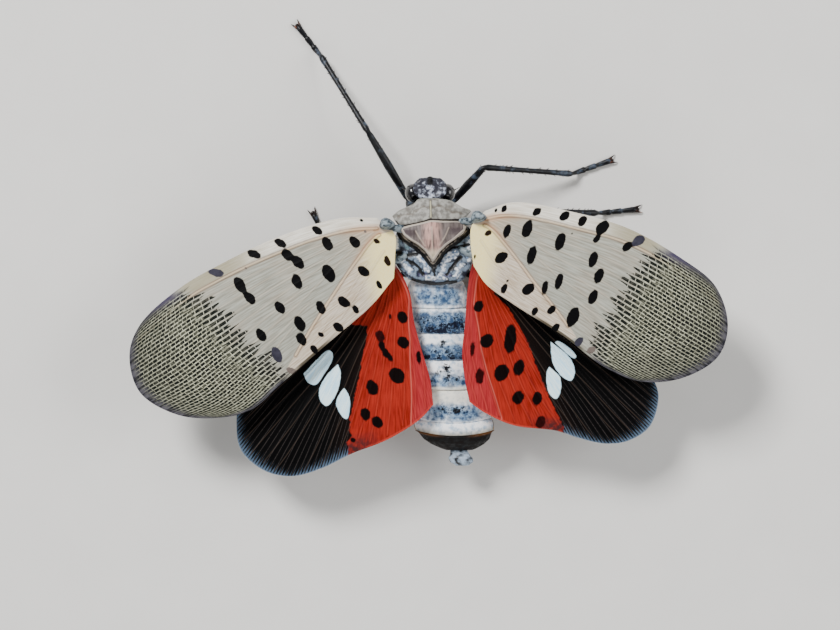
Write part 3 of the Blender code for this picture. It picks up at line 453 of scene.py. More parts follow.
# On the head: keels, sockets and the notch as rise and width, the hollow of
# the brow as a share of the way from its centre and a depth
HEAD_SQUARENESS = 0.8
BROW_KEEL = (0.10, 0.13)
SIDE_KEEL = 0.62
SIDE_KEEL_FORM = (0.06, 0.12)
SOCKET = (0.24, 0.62)
BROW_CENTRE = 4.46
BROW_HOLLOW = [(0.04, 0.10), (0.2, 0.10), (0.4, 0.09), (0.6, 0.08), (0.78, 0.05), (0.9, 0.01), (0.97, -0.01)]
BROW_NOTCH = (-0.08, 0.10)
NOTCH_START = 4.6
BROW_MARK = 4.7
EYE_SINK = 0.05
EYE_ROWS = 48
EYE_SIDES = 72
EYE_PLACE = (1.30, 4.22, 4.95)
EYE_SIZE = (0.55, 0.66, 0.78)
FEELER_LINE = [
    (1.00, 4.30, 3.90), (1.24, 4.34, 3.80), (1.46, 4.40, 3.50), (1.80, 4.54, 3.10), (2.15, 4.75, 2.60),
]
FEELER_SHARES = (0.0, 0.15, 0.28, 0.50, 0.64, 0.70, 0.85, 1.0)
FEELER_RADII = (0.15, 0.14, 0.24, 0.30, 0.20, 0.06, 0.03, 0.02)
BEAK_LINE = [(0.08, 3.25, 1.90), (0.10, 2.6, 1.45), (0.20, 0.0, 1.40), (0.40, -2.6, 1.35), (0.60, -4.6, 1.30)]
BEAK_RADII = [0.28, 0.24, 0.22, 0.20, 0.10]
BEAK_JOINTS = [(0.42, 0.25), (0.75, 0.20)]
BEAK_JOINT_WIDTH = 0.02

# Legs: the top of the hip, the end of the hip, the knee, the ankle and the toe
FOOT_LEVEL = 0.2
LEG_LINES = {
    "foreleg_left": [
        (-0.95, 2.75, 2.15), (-1.45, 3.85, 1.55), (-4.40, 8.70, 3.75), (-7.95, 14.55, 0.75),
        (-9.65, 16.75, 0.2),
    ],
    "foreleg_right": [
        (1.15, 2.85, 2.15), (1.75, 3.75, 1.55), (4.00, 6.15, 3.60), (10.55, 5.85, 0.75), (13.40, 6.85, 0.2),
    ],
    "midleg_left": [
        (-1.10, 0.70, 2.05), (-2.05, 0.85, 1.45), (-5.60, 2.15, 4.05), (-7.55, 0.75, 0.75),
        (-8.50, 2.85, 0.2),
    ],
    "midleg_right": [
        (1.60, 0.90, 2.05), (2.50, 1.10, 1.45), (6.10, 3.05, 4.05), (12.45, 2.95, 0.75), (15.30, 3.25, 0.2),
    ],
    "hindleg_left": [
        (-0.95, -1.15, 2.10), (-1.85, -1.55, 1.45), (-5.30, -3.40, 3.35), (-7.90, -8.40, 0.75),
        (-8.90, -11.10, 0.2),
    ],
    "hindleg_right": [
        (1.80, -1.05, 2.10), (2.70, -1.45, 1.45), (6.30, -3.10, 3.35), (9.30, -7.90, 0.75),
        (10.50, -10.60, 0.2),
    ],
}

# The radius of each part of a leg, at shares of its way
LEG_PROFILES = [
    [(0.0, 0.50), (0.5, 0.44), (0.88, 0.34), (0.97, 0.22)],
    [(0.02, 0.20), (0.06, 0.26), (0.2, 0.28), (0.5, 0.33), (0.8, 0.27), (0.95, 0.24), (0.99, 0.19)],
    [(0.02, 0.20), (0.05, 0.25), (0.12, 0.22), (0.5, 0.19), (0.85, 0.21), (0.96, 0.25), (0.995, 0.20)],
    [(0.1, 0.14), (0.8, 0.19)],
    [
        (0.0, 0.20), (0.16, 0.23), (0.2, 0.15), (0.24, 0.18), (0.52, 0.22), (0.56, 0.15), (0.6, 0.17),
        (0.92, 0.22), (1.0, 0.18),
    ],
]
LEG_SIDES = 20
LEG_STEP = 0.10
HEEL_SHARE = 0.22
HIP_SINK = 0.5
HAIRS = 46
HAIR_SEED = 7
HAIR_LENGTH = 0.22
HAIR_RADIUS = 0.022
HAIR_FOOT = 0.18
THORN_ROWS = 6
THORN_SIDES = 6
THORN_TIP = 0.012
SPINE_LENGTH = 0.62
SPINE_RADIUS = 0.13
SPINE_RISE = 0.35
SPINE_SLANT = 0.45
ANKLE_SPINE_RADIUS = 0.10
ANKLE_SPINE_SETBACK = 0.12
ANKLE_SPINE_REACH = (0.75, 0.20)
SPINE_PLACES = (0.30, 0.46, 0.61, 0.75, 0.88)
ANKLE_SPINES = (-0.87, -0.4, 0.0, 0.4, 0.87)
CLAW_LENGTH = 0.55
CLAW_SPREAD = 0.30
CLAW_RADIUS = 0.10
CLAW_TIP = 0.05
TOE_PAD = (0.16, 0.16, 0.20)

SHIFT = (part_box("tegula_left")[0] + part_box("tegula_left")[1]) / 2 / MM
SHIFT = np.array([SHIFT.x - TEGULA_LEFT[0], SHIFT.y - TEGULA_LEFT[1], 0.0])

# Colours on the photo's scale go to this power to look the same in the scene
TONE_CURVE = 2.6

# The stage: the floor's half width and the lamps (place, size and watts) in
# metres, and the camera's place in the plan's millimetres
FLOOR_HALF = 1.5
LAMPS = (
    ("key", (-0.22, 0.26, 0.34), 0.14, 3.4),
    ("fill", (0.40, 0.05, 0.30), 0.30, 1.5),
    ("rear", (0.02, -0.42, 0.30), 0.30, 1.2),
)
SKY_COLOUR = (0.9, 0.93, 1.0, 1.0)
SKY_STRENGTH = 0.22
CAMERA_PLACE = (-0.643, -4.571, 173.0)
LENS = 100.0
SENSOR = 36.0
NEAREST = 0.005


def tone(red, green, blue):
    """A colour on the photo's scale of 255 as the shader's own numbers."""
    return tuple((part / 255) ** TONE_CURVE for part in (red, green, blue)) + (1.0,)


class Signal:
    """A number or colour that a node gives, with plain arithmetic."""

    def __init__(self, paint, socket):
        self.paint = paint
        self.socket = socket

    def __add__(self, other):
        return self.paint.math("ADD", self, other)

    def __sub__(self, other):
        return self.paint.math("SUBTRACT", self, other)

    def __rsub__(self, other):
        return self.paint.math("SUBTRACT", other, self)

    def __mul__(self, other):
        return self.paint.math("MULTIPLY", self, other)

    def __truediv__(self, other):
        return self.paint.math("DIVIDE", self, other)

    def __abs__(self):
        return self.paint.math("ABSOLUTE", self)

    def sway(self, reach):
        """The swing of a noise about its middle, stretched to that reach."""
        return (self - 0.5) * reach


class Paint:
    """A procedural material. Its ground is the colour so far, and lay() puts
    the next colour over it. Colours are threes on the photo's scale of 255."""

    def __init__(self, name, specular, **settings):
        self.material = bpy.data.materials.new(name)
        self.material.use_nodes = True
        self.nodes = self.material.node_tree.nodes
        self.links = self.material.node_tree.links
        self.shader = self.nodes["Principled BSDF"].inputs
        self.shader["Specular IOR Level"].default_value = specular
        for socket, value in settings.items():
            self.shader[socket.replace("_", " ")].default_value = value
        spot = self.node("TexCoord", "Object", {})
        self.place = self.node("VectorMath", "Vector", {0: spot, "Scale": 1 / MM}, operation="SCALE")
        self.ground = None

    def feed(self, socket, value):
        if isinstance(value, Signal):
            self.links.new(value.socket, socket)
        else:
            socket.default_value = value

    def node(self, kind, output, inputs, **settings):
        """The signal from one output of a new node."""
        node = self.nodes.new("ShaderNode" + kind)
        for key, value in settings.items():
            setattr(node, key, value)
        for key, value in inputs.items():
            self.feed(node.inputs[key], value)
        return Signal(self, node.outputs[output])

    def math(self, operation, *values):
        return self.node("Math", "Value", dict(enumerate(values)), operation=operation)

    def value(self, name):
        """A number that is kept at the points of the mesh."""
        return self.node("Attribute", "Fac", {}, attribute_name=name)

    def vector(self, name):
        return self.node("Attribute", "Vector", {}, attribute_name=name)

    def split(self, vector):
        node = self.node("SeparateXYZ", 0, {0: vector}).socket.node
        return [Signal(self, output) for output in node.outputs]

    def join(self, x, y, z=0.0):
        return self.node("CombineXYZ", 0, {0: x, 1: y, 2: z})

    def noise(self, size, detail=3.0, at=None, stretch=(1.0, 1.0, 1.0)):
        """Noise from 0 to 1 with features about that size in millimetres."""
        at = self.place if at is None else at
        place = self.node("VectorMath", "Vector", {0: at, 1: stretch}, operation="MULTIPLY")
        return self.node("TexNoise", "Fac", {"Vector": place, "Scale": 1 / size, "Detail": detail})

    def cells(self, size, feature="F1"):
        """Distance within small cells of about that size in millimetres."""
        inputs = {"Vector": self.place, "Scale": 1 / size}
        return self.node("TexVoronoi", "Distance", inputs, feature=feature)

    def bricks(self, at, length, row, joint):
        """0 on dashes in staggered rows and 1 on the joints between them."""
        inputs = {"Vector": at, "Scale": 1.0, "Mortar Size": joint, "Mortar Smooth": 0.3}
        return self.node("TexBrick", "Fac", {**inputs, "Brick Width": length, "Row Height": row})

    def step(self, value, low, high):
        """0 below low, 1 above high, smooth between; falls where low is above high."""
        inputs = {"Value": value, "From Min": low, "From Max": high}
        return self.node("MapRange", "Result", inputs, interpolation_type="SMOOTHSTEP")

    def band(self, value, low, full, last, high):
        """1 from full to last, and 0 below low and above high."""
        return self.step(value, low, full) * self.step(value, high, last)

    def between(self, share, low, high):
        """A number that goes from low to high as the share goes from 0 to 1."""
        return self.node("MapRange", "Result", {"Value": share, "To Min": low, "To Max": high})

    def mix(self, share, below, above):
        below, above = [tone(*one) if isinstance(one, tuple) else one for one in (below, above)]
        return self.node("Mix", 2, {0: share, 6: below, 7: above}, data_type="RGBA")

    def blend(self, value, low, high, below, above):
        """The one colour where the value is below low, the other above high."""
        return self.mix(self.step(value, low, high), below, above)

    def lay(self, colour, value, low=None, high=None, share=1.0):
        """Lay a colour over the ground by a value, or by its way from low to high."""
        if low is not None:
            value = self.step(value, low, high)
        if share != 1.0:
            value = value * share
        self.ground = self.mix(value, self.ground, colour)

    def finish(self, roughness, *reliefs):
        """The material, with its roughness as (share, low, high), and reliefs
        as (height from 0 to 1, depth in millimetres, strength)."""
        self.feed(self.shader["Base Color"], self.ground)
        if roughness:
            self.feed(self.shader["Roughness"], self.between(*roughness))
        inputs = {}
        for height, depth, strength in reliefs:
            inputs.update({"Height": height, "Distance": depth * MM, "Strength": strength})
            inputs["Normal"] = self.node("Bump", "Normal", inputs)
        if reliefs:
            self.feed(self.shader["Normal"], inputs["Normal"])
        return self.material


def add_piece(name, points, faces, slot, nodes, material, values=None):
    """A smooth closed piece from points in millimetres, with values at its points."""
    mesh = bpy.data.meshes.new(name)
    mesh.from_pydata(((np.asarray(points, float) + SHIFT) * MM).tolist(), [], faces)
    work = bmesh.new()
    work.from_mesh(mesh)
    bmesh.ops.recalc_face_normals(work, faces=work.faces)
    work.to_mesh(mesh)
    work.free()
    mesh.polygons.foreach_set("use_smooth", [True] * len(mesh.polygons))
    for key, value in (values or {}).items():
        value = np.asarray(value, float)
        if value.ndim == 1:
            mesh.attributes.new(key, "FLOAT", "POINT").data.foreach_set("value", value)
        else:
            mesh.attributes.new(key, "FLOAT_VECTOR", "POINT").data.foreach_set("vector", value.ravel())
    mesh.materials.append(material)
    piece = bpy.data.objects.new(name, mesh)
    bpy.context.collection.objects.link(piece)
    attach(piece, "root")
    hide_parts(*nodes)
    return piece


def curve_through(points, steps):
    """A smooth curve through the points, with so many steps between each two."""
    line = [np.array(point, float) for point in points]
    line = [2 * line[0] - line[1]] + line + [2 * line[-1] - line[-2]]
    smooth = []
    for a, b, c, d in zip(line, line[1:], line[2:], line[3:]):
        ta = 0.0
        tb = ta + np.linalg.norm(b - a) ** 0.5
        tc = tb + np.linalg.norm(c - b) ** 0.5
        td = tc + np.linalg.norm(d - c) ** 0.5
        for t in np.linspace(tb, tc, steps, endpoint=False):
            ab = a + (b - a) * (t - ta) / (tb - ta)
            bc = b + (c - b) * (t - tb) / (tc - tb)
            cd = c + (d - c) * (t - tc) / (td - tc)
            abc = ab + (bc - ab) * (t - ta) / (tc - ta)
            bcd = bc + (cd - bc) * (t - tb) / (td - tb)
            smooth.append(abc + (bcd - abc) * (t - tb) / (tc - tb))
    smooth.append(line[-2])
    return np.array(smooth)


def unit(way):
    return way / np.linalg.norm(way)


def bump(distance, width):
    """1 on a line, falling smoothly to nearly 0 at twice that width from it."""
    return np.exp(-((distance / width) ** 2))


def ridge(distance, rise, width):
    """A ridge along a line, or a groove where the rise is below 0."""
    return rise * bump(distance, width)


def full_turn(count):
    """So many even angles round a circle."""
    return 2 * pi * np.arange(count) / count


def read_rows(rows, place, beyond=None):
    """The second number of the rows, read between the rows by the first one,
    and another number beyond the last row."""
    return np.interp(place, [row[0] for row in rows], [row[1] for row in rows], right=beyond)


def evenly(line, count):
    """The line cut into so many even steps, ends kept."""
    steps = np.linalg.norm(np.diff(line, axis=0), axis=1)
    lengths = np.concatenate([[0.0], np.cumsum(steps)])
    wanted = np.linspace(0, lengths[-1], count + 1)
    return np.stack([np.interp(wanted, lengths, line[:, i]) for i in range(line.shape[1])], axis=1)


MIDDLE = curve_through(MIDDLE_LINE, 8)[::-1]


def middle(y):
    """The X of the body's middle line at y."""
    return np.interp(y, MIDDLE[:, 1], MIDDLE[:, 0])


def along_side(samples, t):
    """The points at shares t along a side that is cut evenly."""
    places = np.linspace(0, 1, len(samples))
    return np.stack([np.interp(t, places, samples[:, i]) for i in range(2)], axis=-1)


class WingPlan:
    """A wing's outline seen from above, with u from root to tip and v from
    the leading edge to the trailing edge."""

    def __init__(self, wing):
        steps = 12
        margin = curve_through(wing["leading"] + wing["outer"] + wing["trailing"], steps)
        tip_front = (len(wing["leading"]) - 1) * steps
        tip_rear = (len(wing["leading"]) + len(wing["outer"])) * steps
        base = curve_through([wing["trailing"][-1]] + wing["base"] + [wing["leading"][0]], steps)
        self.leading = evenly(margin[: tip_front + 1], SIDE_SAMPLES)
        self.outer = evenly(margin[tip_front : tip_rear + 1], SIDE_SAMPLES)
        self.trailing = evenly(margin[tip_rear:][::-1], SIDE_SAMPLES)
        self.base = evenly(base[::-1], SIDE_SAMPLES)

    def at(self, u, v):
        """The points at u and v, blended from the four sides."""
        u = np.asarray(u, float)
        v = np.asarray(v, float)
        a = u[..., None]
        b = v[..., None]
        edges = along_side(self.leading, u) * (1 - b) + along_side(self.trailing, u) * b
        ends = along_side(self.base, v) * (1 - a) + along_side(self.outer, v) * a
        corners = (
            self.leading[0] * (1 - a) * (1 - b)
            + self.leading[-1] * a * (1 - b)
            + self.trailing[0] * (1 - a) * b
            + self.trailing[-1] * a * b
        )
        return edges + ends - corners


def distance_to_line(points, line):
    """The distance from each point to a line of points."""
    nearest = np.full(len(points), FAR)
    for a, b in zip(line, line[1:]):
        way = b - a
        share = np.clip((points - a) @ way / max(way @ way, 1e-12), 0, 1)
        nearest = np.minimum(nearest, np.linalg.norm(points - a - share[:, None] * way, axis=1))
    return nearest


def distance_to_loop(points, loop):
    """The distance from each point to a closed outline, negative inside it."""
    loop = np.array(loop, float)
    ahead = np.roll(loop, -1, axis=0)
    inside = np.zeros(len(points), bool)
    x, y = points[:, 0], points[:, 1]
    for a, b in zip(loop, ahead):
        if a[1] != b[1]:
            crosses = (a[1] > y) != (b[1] > y)
            inside ^= crosses & (x < a[0] + (b[0] - a[0]) * (y - a[1]) / (b[1] - a[1]))
    distance = distance_to_line(points, np.vstack([loop, loop[:1]]))
    return np.where(inside, -distance, distance)


def distance_to_spots(points, spots, lean):
    """The distance from each point to the nearest spot, negative inside it,
    and the kind of that spot. The spots lean by that share, and spots that
    touch run together."""
    nearest = np.full(len(points), FAR)
    kinds = np.zeros(len(points))
    pull = np.full(len(points), 1e-30)
    for kind, places in spots.items():
        for x, y, width, height in places:
            p = (points[:, 0] - x) / (width / 2)
            q = (points[:, 1] - y) / (height / 2)
            form = (p * p - 2 * lean * p * q + q * q) / (1 - lean * lean)
            distance = (np.sqrt(form) - 1) * min(width, height) / 2
            kinds = np.where(distance < nearest, kind, kinds)
            nearest = np.minimum(nearest, distance)
            pull += np.exp(-distance / SPOT_BLEND)
    return -SPOT_BLEND * np.log(pull), kinds


def distance_to_dots(points, spots):
    """The distance from each point to the nearest upright spot."""
    return distance_to_spots(points, {BLACK: spots}, 0.0)[0]


def forewing_top(wing):
    """The height of a forewing's upper face, as in the source of the part."""
    root = np.array(wing["root"])
    along = unit(np.array(wing["tip"]) - root)

    def height(points):
        place = points - root
        reach = place @ along / FOREWING_SPAN
        across = place[:, 0] * along[1] - place[:, 1] * along[0]
        lift = FOREWING_RISE * reach - FOREWING_DROOP * reach * np.abs(reach)
        return FOREWING_ROOT_HEIGHT + lift - FOREWING_CAMBER * across**2 * np.clip(reach * 3, 0, 1)

    return height


def hindwing_top(points):
    """The height of a hindwing's upper face, as in the source of the part."""
    reach = np.maximum(np.abs(points[:, 0] - middle(points[:, 1])) - HINDWING_FLAT, 0.0)
    return HINDWING_ROOT_HEIGHT - HINDWING_FALL * reach - HINDWING_CURVE * reach * reach


def wing_mesh(cells, flat, top):
    """Points and faces of a thin closed wing over a grid of points."""
    rows, columns = cells[0] + 1, cells[1] + 1
    count = rows * columns
    points = np.vstack([np.column_stack([flat, top]), np.column_stack([flat, top - MEMBRANE])])
    grid = np.arange(count).reshape(rows, columns)
    upper = np.stack([grid[:-1, :-1], grid[1:, :-1], grid[1:, 1:], grid[:-1, 1:]], axis=-1).reshape(-1, 4)
    rim = np.concatenate([grid[0, :-1], grid[:-1, -1], grid[-1, :0:-1], grid[:0:-1, 0]])
    ahead = np.roll(rim, -1)
    wall = np.column_stack([rim, ahead, ahead + count, rim + count])
    faces = np.vstack([upper, upper[:, ::-1] + count, wall]).tolist()
    return points, faces


def lay_flat(piece, cells, wall_faces):
    """The map to bake on: the upper face in the lower half and the lower face in the upper half."""
    mesh = piece.data
    count = (cells[0] + 1) * (cells[1] + 1)
    corners = np.empty(len(mesh.loops), int)
    mesh.loops.foreach_get("vertex_index", corners)
    place = corners % count
    across = (place // (cells[1] + 1)) / cells[0]
    up = (place % (cells[1] + 1)) / cells[1] * MAP_HEIGHT + MAP_MARGIN
    below = corners >= count
    below[-4 * wall_faces :] = False
    layer = mesh.uv_layers.new(name="OFBake")
    layer.data.foreach_set("uv", np.column_stack([across, up + 0.5 * below]).ravel())


def make_wing(name, wing, cells, height, veins, marks, slot, material):
    """A thin wing with veins that stand up and a membrane that sags between them."""
    plan = WingPlan(wing)
    u, v = np.meshgrid(np.linspace(0, 1, cells[0] + 1), np.linspace(0, 1, cells[1] + 1), indexing="ij")
    u = u.ravel()
    v = v.ravel()
    flat = plan.at(u, v)
    chord = np.linalg.norm(along_side(plan.leading, u) - along_side(plan.trailing, u), axis=1)
    span = np.linalg.norm(along_side(plan.base, v) - along_side(plan.outer, v), axis=1)
    groups = []
    relief = np.zeros(len(flat))
    for (width, rise), lines in veins:
        group = np.full(len(flat), FAR)
        for line in lines:
            track = curve_through(line, 8)
            group = np.minimum(group, distance_to_line(flat, plan.at(track[:, 0], track[:, 1])))
        relief = np.maximum(relief, ridge(group, rise, width))
        groups.append(group)
    nearest = np.min(groups, axis=0)
    margin = np.column_stack([(1 - u) * span, v * chord, (1 - v) * chord])
    rim = np.clip(margin.min(axis=1) / RELIEF_FADE, 0, 1)
    relief = relief * rim - SAG * (1 - bump(nearest, SAG_REACH)) * rim
    points, faces = wing_mesh(cells, flat, height(flat) + relief)
    values = {"vein": nearest, "stem": groups[0], "margin": margin}
    values.update(marks(flat, u, v, span, chord))
    values = {key: np.concatenate([value, value]) for key, value in values.items()}
    piece = add_piece(name + "_membrane", points, faces, slot, [name], material, values)
    lay_flat(piece, cells, 2 * (cells[0] + cells[1]))


def forewing_marks(spots, net, lean):
    """The pattern of a forewing at its points."""

    def marks(flat, u, v, span, chord):
        spot, kind = distance_to_spots(flat, spots, lean)
        return {
            "spot": spot,
            "kind": kind,
            "lie": np.column_stack([u * FOREWING_LIE[0], v * FOREWING_LIE[1], np.zeros(len(u))]),
            "net": (u - read_rows(net, v)) * span,
            "clavus": (v - read_rows(CLAVUS, u, NO_CLAVUS)) * chord,
        }

    return marks


def hindwing_marks(wing, spots, patches, red, fold, lean):
    """The pattern of a hindwing at its points."""
    root = np.array(wing["leading"][0])

    def marks(flat, u, v, span, chord):
        spot, kind = distance_to_spots(flat, spots, lean)
        way = flat - root
        turn = np.arctan2(-way[:, 1], np.abs(way[:, 0]))
        patch = np.full(len(flat), FAR)
        for loop in patches:
            patch = np.minimum(patch, distance_to_loop(flat, curve_through(loop + loop[:1], 5)[:-1]))
        return {
            "spot": spot,
            "kind": kind,
            "lie": np.column_stack([np.linalg.norm(way, axis=1), turn * HINDWING_LIE, np.zeros(len(u))]),
            "dark": (u - read_rows(red, v)) * span,
            "fold": (u - read_rows(fold, v)) * span,
            "patch": patch,
        }

    return marks


def forewing_paint():
    """Pale grey ground with fine streaks, cream at the base, ink spots, and a
    net of dark dashes between pale veins beyond the net's border."""
    paint = Paint("forewing_paint", 0.08)
    lie = paint.vector("lie")
    along, across, _ = paint.split(lie)
    outer, front, rear = paint.split(paint.vector("margin"))
    rough = paint.noise(0.35, 4.0)
    streak = paint.noise(0.12, 4.0, lie, (0.07, 1.0, 1.0))
    grain = paint.noise(0.10)
    net = paint.value("net")
    stem = paint.value("stem")
    vein = paint.value("vein")

    paint.ground = paint.blend(streak, 0.32, 0.68, (150, 148, 137), (180, 180, 169))
    paint.lay((190, 170, 150), paint.noise(2.2, 2.0), 0.42, 0.68, 0.15)
    paint.lay((206, 184, 160), along, 5.0, 0.5, 0.5)
    pale = paint.blend(streak, 0.34, 0.66, (222, 214, 198), (248, 243, 232))
    pale = paint.mix(paint.step(along, 7.5, 12.0) * 0.9, pale, (164, 156, 130))
    strip = paint.step(front + rough * 0.3, 1.35, 0.95) * paint.step(net, 0.6, -0.6)
    paint.lay(pale, strip * 0.85)
    paint.lay((204, 148, 98), paint.step(along, 4.5, 1.0) * paint.step(stem, 0.5, 0.05) * 0.5)
    behind = paint.blend(streak, 0.34, 0.66, (188, 170, 148), (220, 208, 192))
    cream = paint.mix(grain, (252, 228, 146), (255, 247, 198))
    paint.lay(paint.blend(along, 3.6, 1.2, behind, cream), paint.value("clavus"), -0.02, 0.06, 0.88)
    paint.lay((118, 96, 76), paint.band(vein, 0.04, 0.07, 0.08, 0.16) * 0.16)
    paint.lay((128, 96, 70), paint.band(stem, 0.05, 0.08, 0.10, 0.22) * 0.45)
    paint.lay((210, 196, 176), vein, 0.07, 0.03, 0.25)
    paint.lay((214, 186, 150), stem, 0.08, 0.03, 0.5)

    wander = paint.noise(0.8, 2.0).sway(0.08)
    wavy = across + wander

    def dashes(length, row, joint):
        """Dashes in rows that are shifted at random, with narrower joints at
        their ends than between the rows."""
        squeeze = 1.8
        number = paint.math("FLOOR", wavy / row)
        shift = paint.noise(1.0, 0.0, paint.join(number * 0.73, 0.5)) * (length * 2.5)
        at = paint.join((along + shift) * squeeze, wavy)
        return 1.0 - paint.bricks(at, length * squeeze, row, joint)

    ends = paint.noise(0.30, 1.0, paint.join(0.11, across, 0.19)).sway(3.2)
    broad = dashes(0.62, 0.30, 0.060) * paint.step(net + ends, -0.05, 0.15)
    dash = paint.blend(net + ends * 0.4, 1.3, 2.2, broad, dashes(0.36, 0.215, 0.036))
    for edge, low, high in ((outer, 0.15, 0.45), (rear, 0.10, 0.25), (front + wander, 0.25, 0.60)):
        dash = dash * paint.step(edge, low, high)
    dash = dash * paint.between(paint.step(rough, 0.36, 0.56), 0.86, 1.0)
    web = paint.blend(paint.noise(0.2, 2.0), 0.35, 0.65, (150, 150, 130), (214, 214, 188))
    web = paint.mix(paint.step(outer, 4.5, 0.6) * 0.55, web, (122, 122, 108))
    paint.lay(web, net, 0.0, 2.0, 0.85)
    paint.lay(paint.mix(rough, (14, 18, 16), (44, 48, 44)), dash)

    rim = paint.math("MAXIMUM", paint.step(outer, 1.00, 0.10), paint.step(rear, 0.60, 0.05))
    rim = paint.math("MAXIMUM", rim, paint.step(front, 1.00, 0.15))
    dusky = paint.blend(streak, 0.4, 0.6, (46, 45, 52), (94, 92, 98))
    dusky = paint.mix(paint.step(net, 3.2, 1.0) * paint.step(front, 1.6, 0.8), dusky, (84, 78, 98))
    paint.lay(dusky, rim * paint.step(net, -0.2, 1.0))
    hem = paint.step(rear, 0.28, 0.16) * paint.step(net, 0.5, -1.0) * paint.step(along, 6.0, 9.0)
    paint.lay((66, 60, 46), hem * 0.9)

    kind = paint.value("kind")
    ink = paint.mix(grain, (5, 5, 7), (22, 21, 24))
    ink = paint.blend(kind, BROWN - 0.6, BROWN - 0.4, ink, (46, 34, 24))
    ink = paint.blend(kind, VIOLET - 0.6, VIOLET - 0.4, ink, paint.mix(rough, (44, 44, 54), (84, 82, 94)))
    ink = paint.blend(kind, FAINT - 0.6, FAINT - 0.4, ink, (120, 110, 104))
    paint.lay(ink, paint.value("spot") + rough.sway(0.20), 0.035, -0.035)
    return paint.finish((streak, 0.48, 0.66), (streak, 0.03, 0.6), (dash, -0.04, 0.8), (grain, 0.012, 0.6))


def hindwing_paint():
    """Red towards the body with ink spots, black beyond it with fine rays, a
    pale blue fringe and white patches, and a rosy lobe inside the fold."""
    paint = Paint("hindwing_paint", 0.06)
    lie = paint.vector("lie")
    reach, around, _ = paint.split(lie)
    outer, front, rear = paint.split(paint.vector("margin"))
    rough = paint.noise(0.35, 4.0)
    grain = paint.noise(0.10)
    streak = paint.noise(0.16, 4.0, lie, (0.12, 1.0, 1.0))
    vein = paint.value("vein")
    fold = paint.value("fold")
    dark = paint.value("dark")
    border = paint.math("MINIMUM", outer, rear)

    def comb(spacing):
        """0 on rays that far apart and 0.5 half way between them."""
        return abs(paint.math("FRACT", around / spacing) - 0.5)

    paint.ground = paint.blend(streak, 0.34, 0.66, (134, 40, 34), (164, 56, 44))
    paint.lay((176, 62, 48), paint.noise(1.6), 0.40, 0.65, 0.30)
    paint.lay(paint.blend(streak, 0.34, 0.66, (154, 50, 54), (176, 68, 70)), fold, 0.2, -0.4, 0.9)
    paint.lay((210, 124, 112), paint.band(fold, -0.10, 0.0, 0.0, 0.10) * 0.55)
    paint.lay((92, 18, 14), paint.band(vein, 0.04, 0.07, 0.08, 0.18) * 0.22)
    paint.lay((204, 100, 80), vein, 0.06, 0.03, 0.10)
    # painted shade: dark maroon along the hindwing's front edge, where the forewing's shadow falls on it
    paint.lay((74, 16, 16), front, 1.9, 0.3, 0.75)
    paint.lay((208, 92, 76), rear, 0.20, 0.05, 0.5)
    dusk = paint.step(dark, -3.0, -0.7) * paint.step(border, 1.7, 0.4)
    paint.lay((62, 48, 50), dusk * paint.between(paint.step(rough, 0.35, 0.6), 0.4, 0.9))
    paint.lay((226, 224, 224), reach + rough * 0.4, 1.1, 0.5)
    red = paint.ground

    paint.ground = paint.mix(grain, (3, 3, 4), (13, 11, 12))
    paint.lay(paint.mix(grain, (16, 10, 8), (44, 31, 25)), dark, 2.2, 0.0, 0.7)
    paint.lay((88, 76, 68), vein, 0.05, 0.02, 0.40)
    ray = paint.step(comb(0.36), 0.09, 0.02) * paint.step(border, 6.0, 2.5)
    paint.lay((92, 86, 84), ray * paint.between(paint.step(grain, 0.35, 0.55), 0.4, 1.0) * 0.50)
    pale = paint.math("POWER", paint.step(border + rough.sway(0.6), 1.75, -0.15), 1.9)
    hair = paint.mix(pale, (26, 32, 40), (104, 122, 142))
    paint.lay(hair, pale * 0.42 - comb(0.18), -0.08, 0.12, 0.85)
    paint.lay((138, 154, 172), border, 0.11, 0.03, 0.60)
    paint.ground = paint.blend(dark + rough.sway(0.5), -0.08, 0.10, red, paint.ground)

    white = paint.blend(streak, 0.35, 0.65, (200, 236, 255), (232, 252, 255))
    paint.lay(white, paint.value("patch") + rough.sway(0.10), 0.04, -0.04)
    ink = paint.mix(grain, (8, 4, 4), (30, 10, 9))
    faded = paint.mix(rough, (24, 6, 6), (70, 13, 12))
    ink = paint.blend(paint.value("kind"), BROWN - 0.6, BROWN - 0.4, ink, faded)
    paint.lay(ink, paint.value("spot") + rough.sway(0.22), 0.05, -0.05)
    return paint.finish((streak, 0.45, 0.62), (streak, 0.03, 0.6), (grain, 0.015, 0.6))


def fan(ends):
    """Slightly bent veins from the root of a hindwing to these ends."""
    start = np.array(HINDWING_VEIN_ROOT)
    lines = []
    for end in ends:
        way = np.array(end) - start
        bow = np.array([-way[1], way[0]]) / np.linalg.norm(way) * HINDWING_VEIN_BEND
        lines.append([start, start + way * 0.55 + bow, np.array(end)])
    return lines


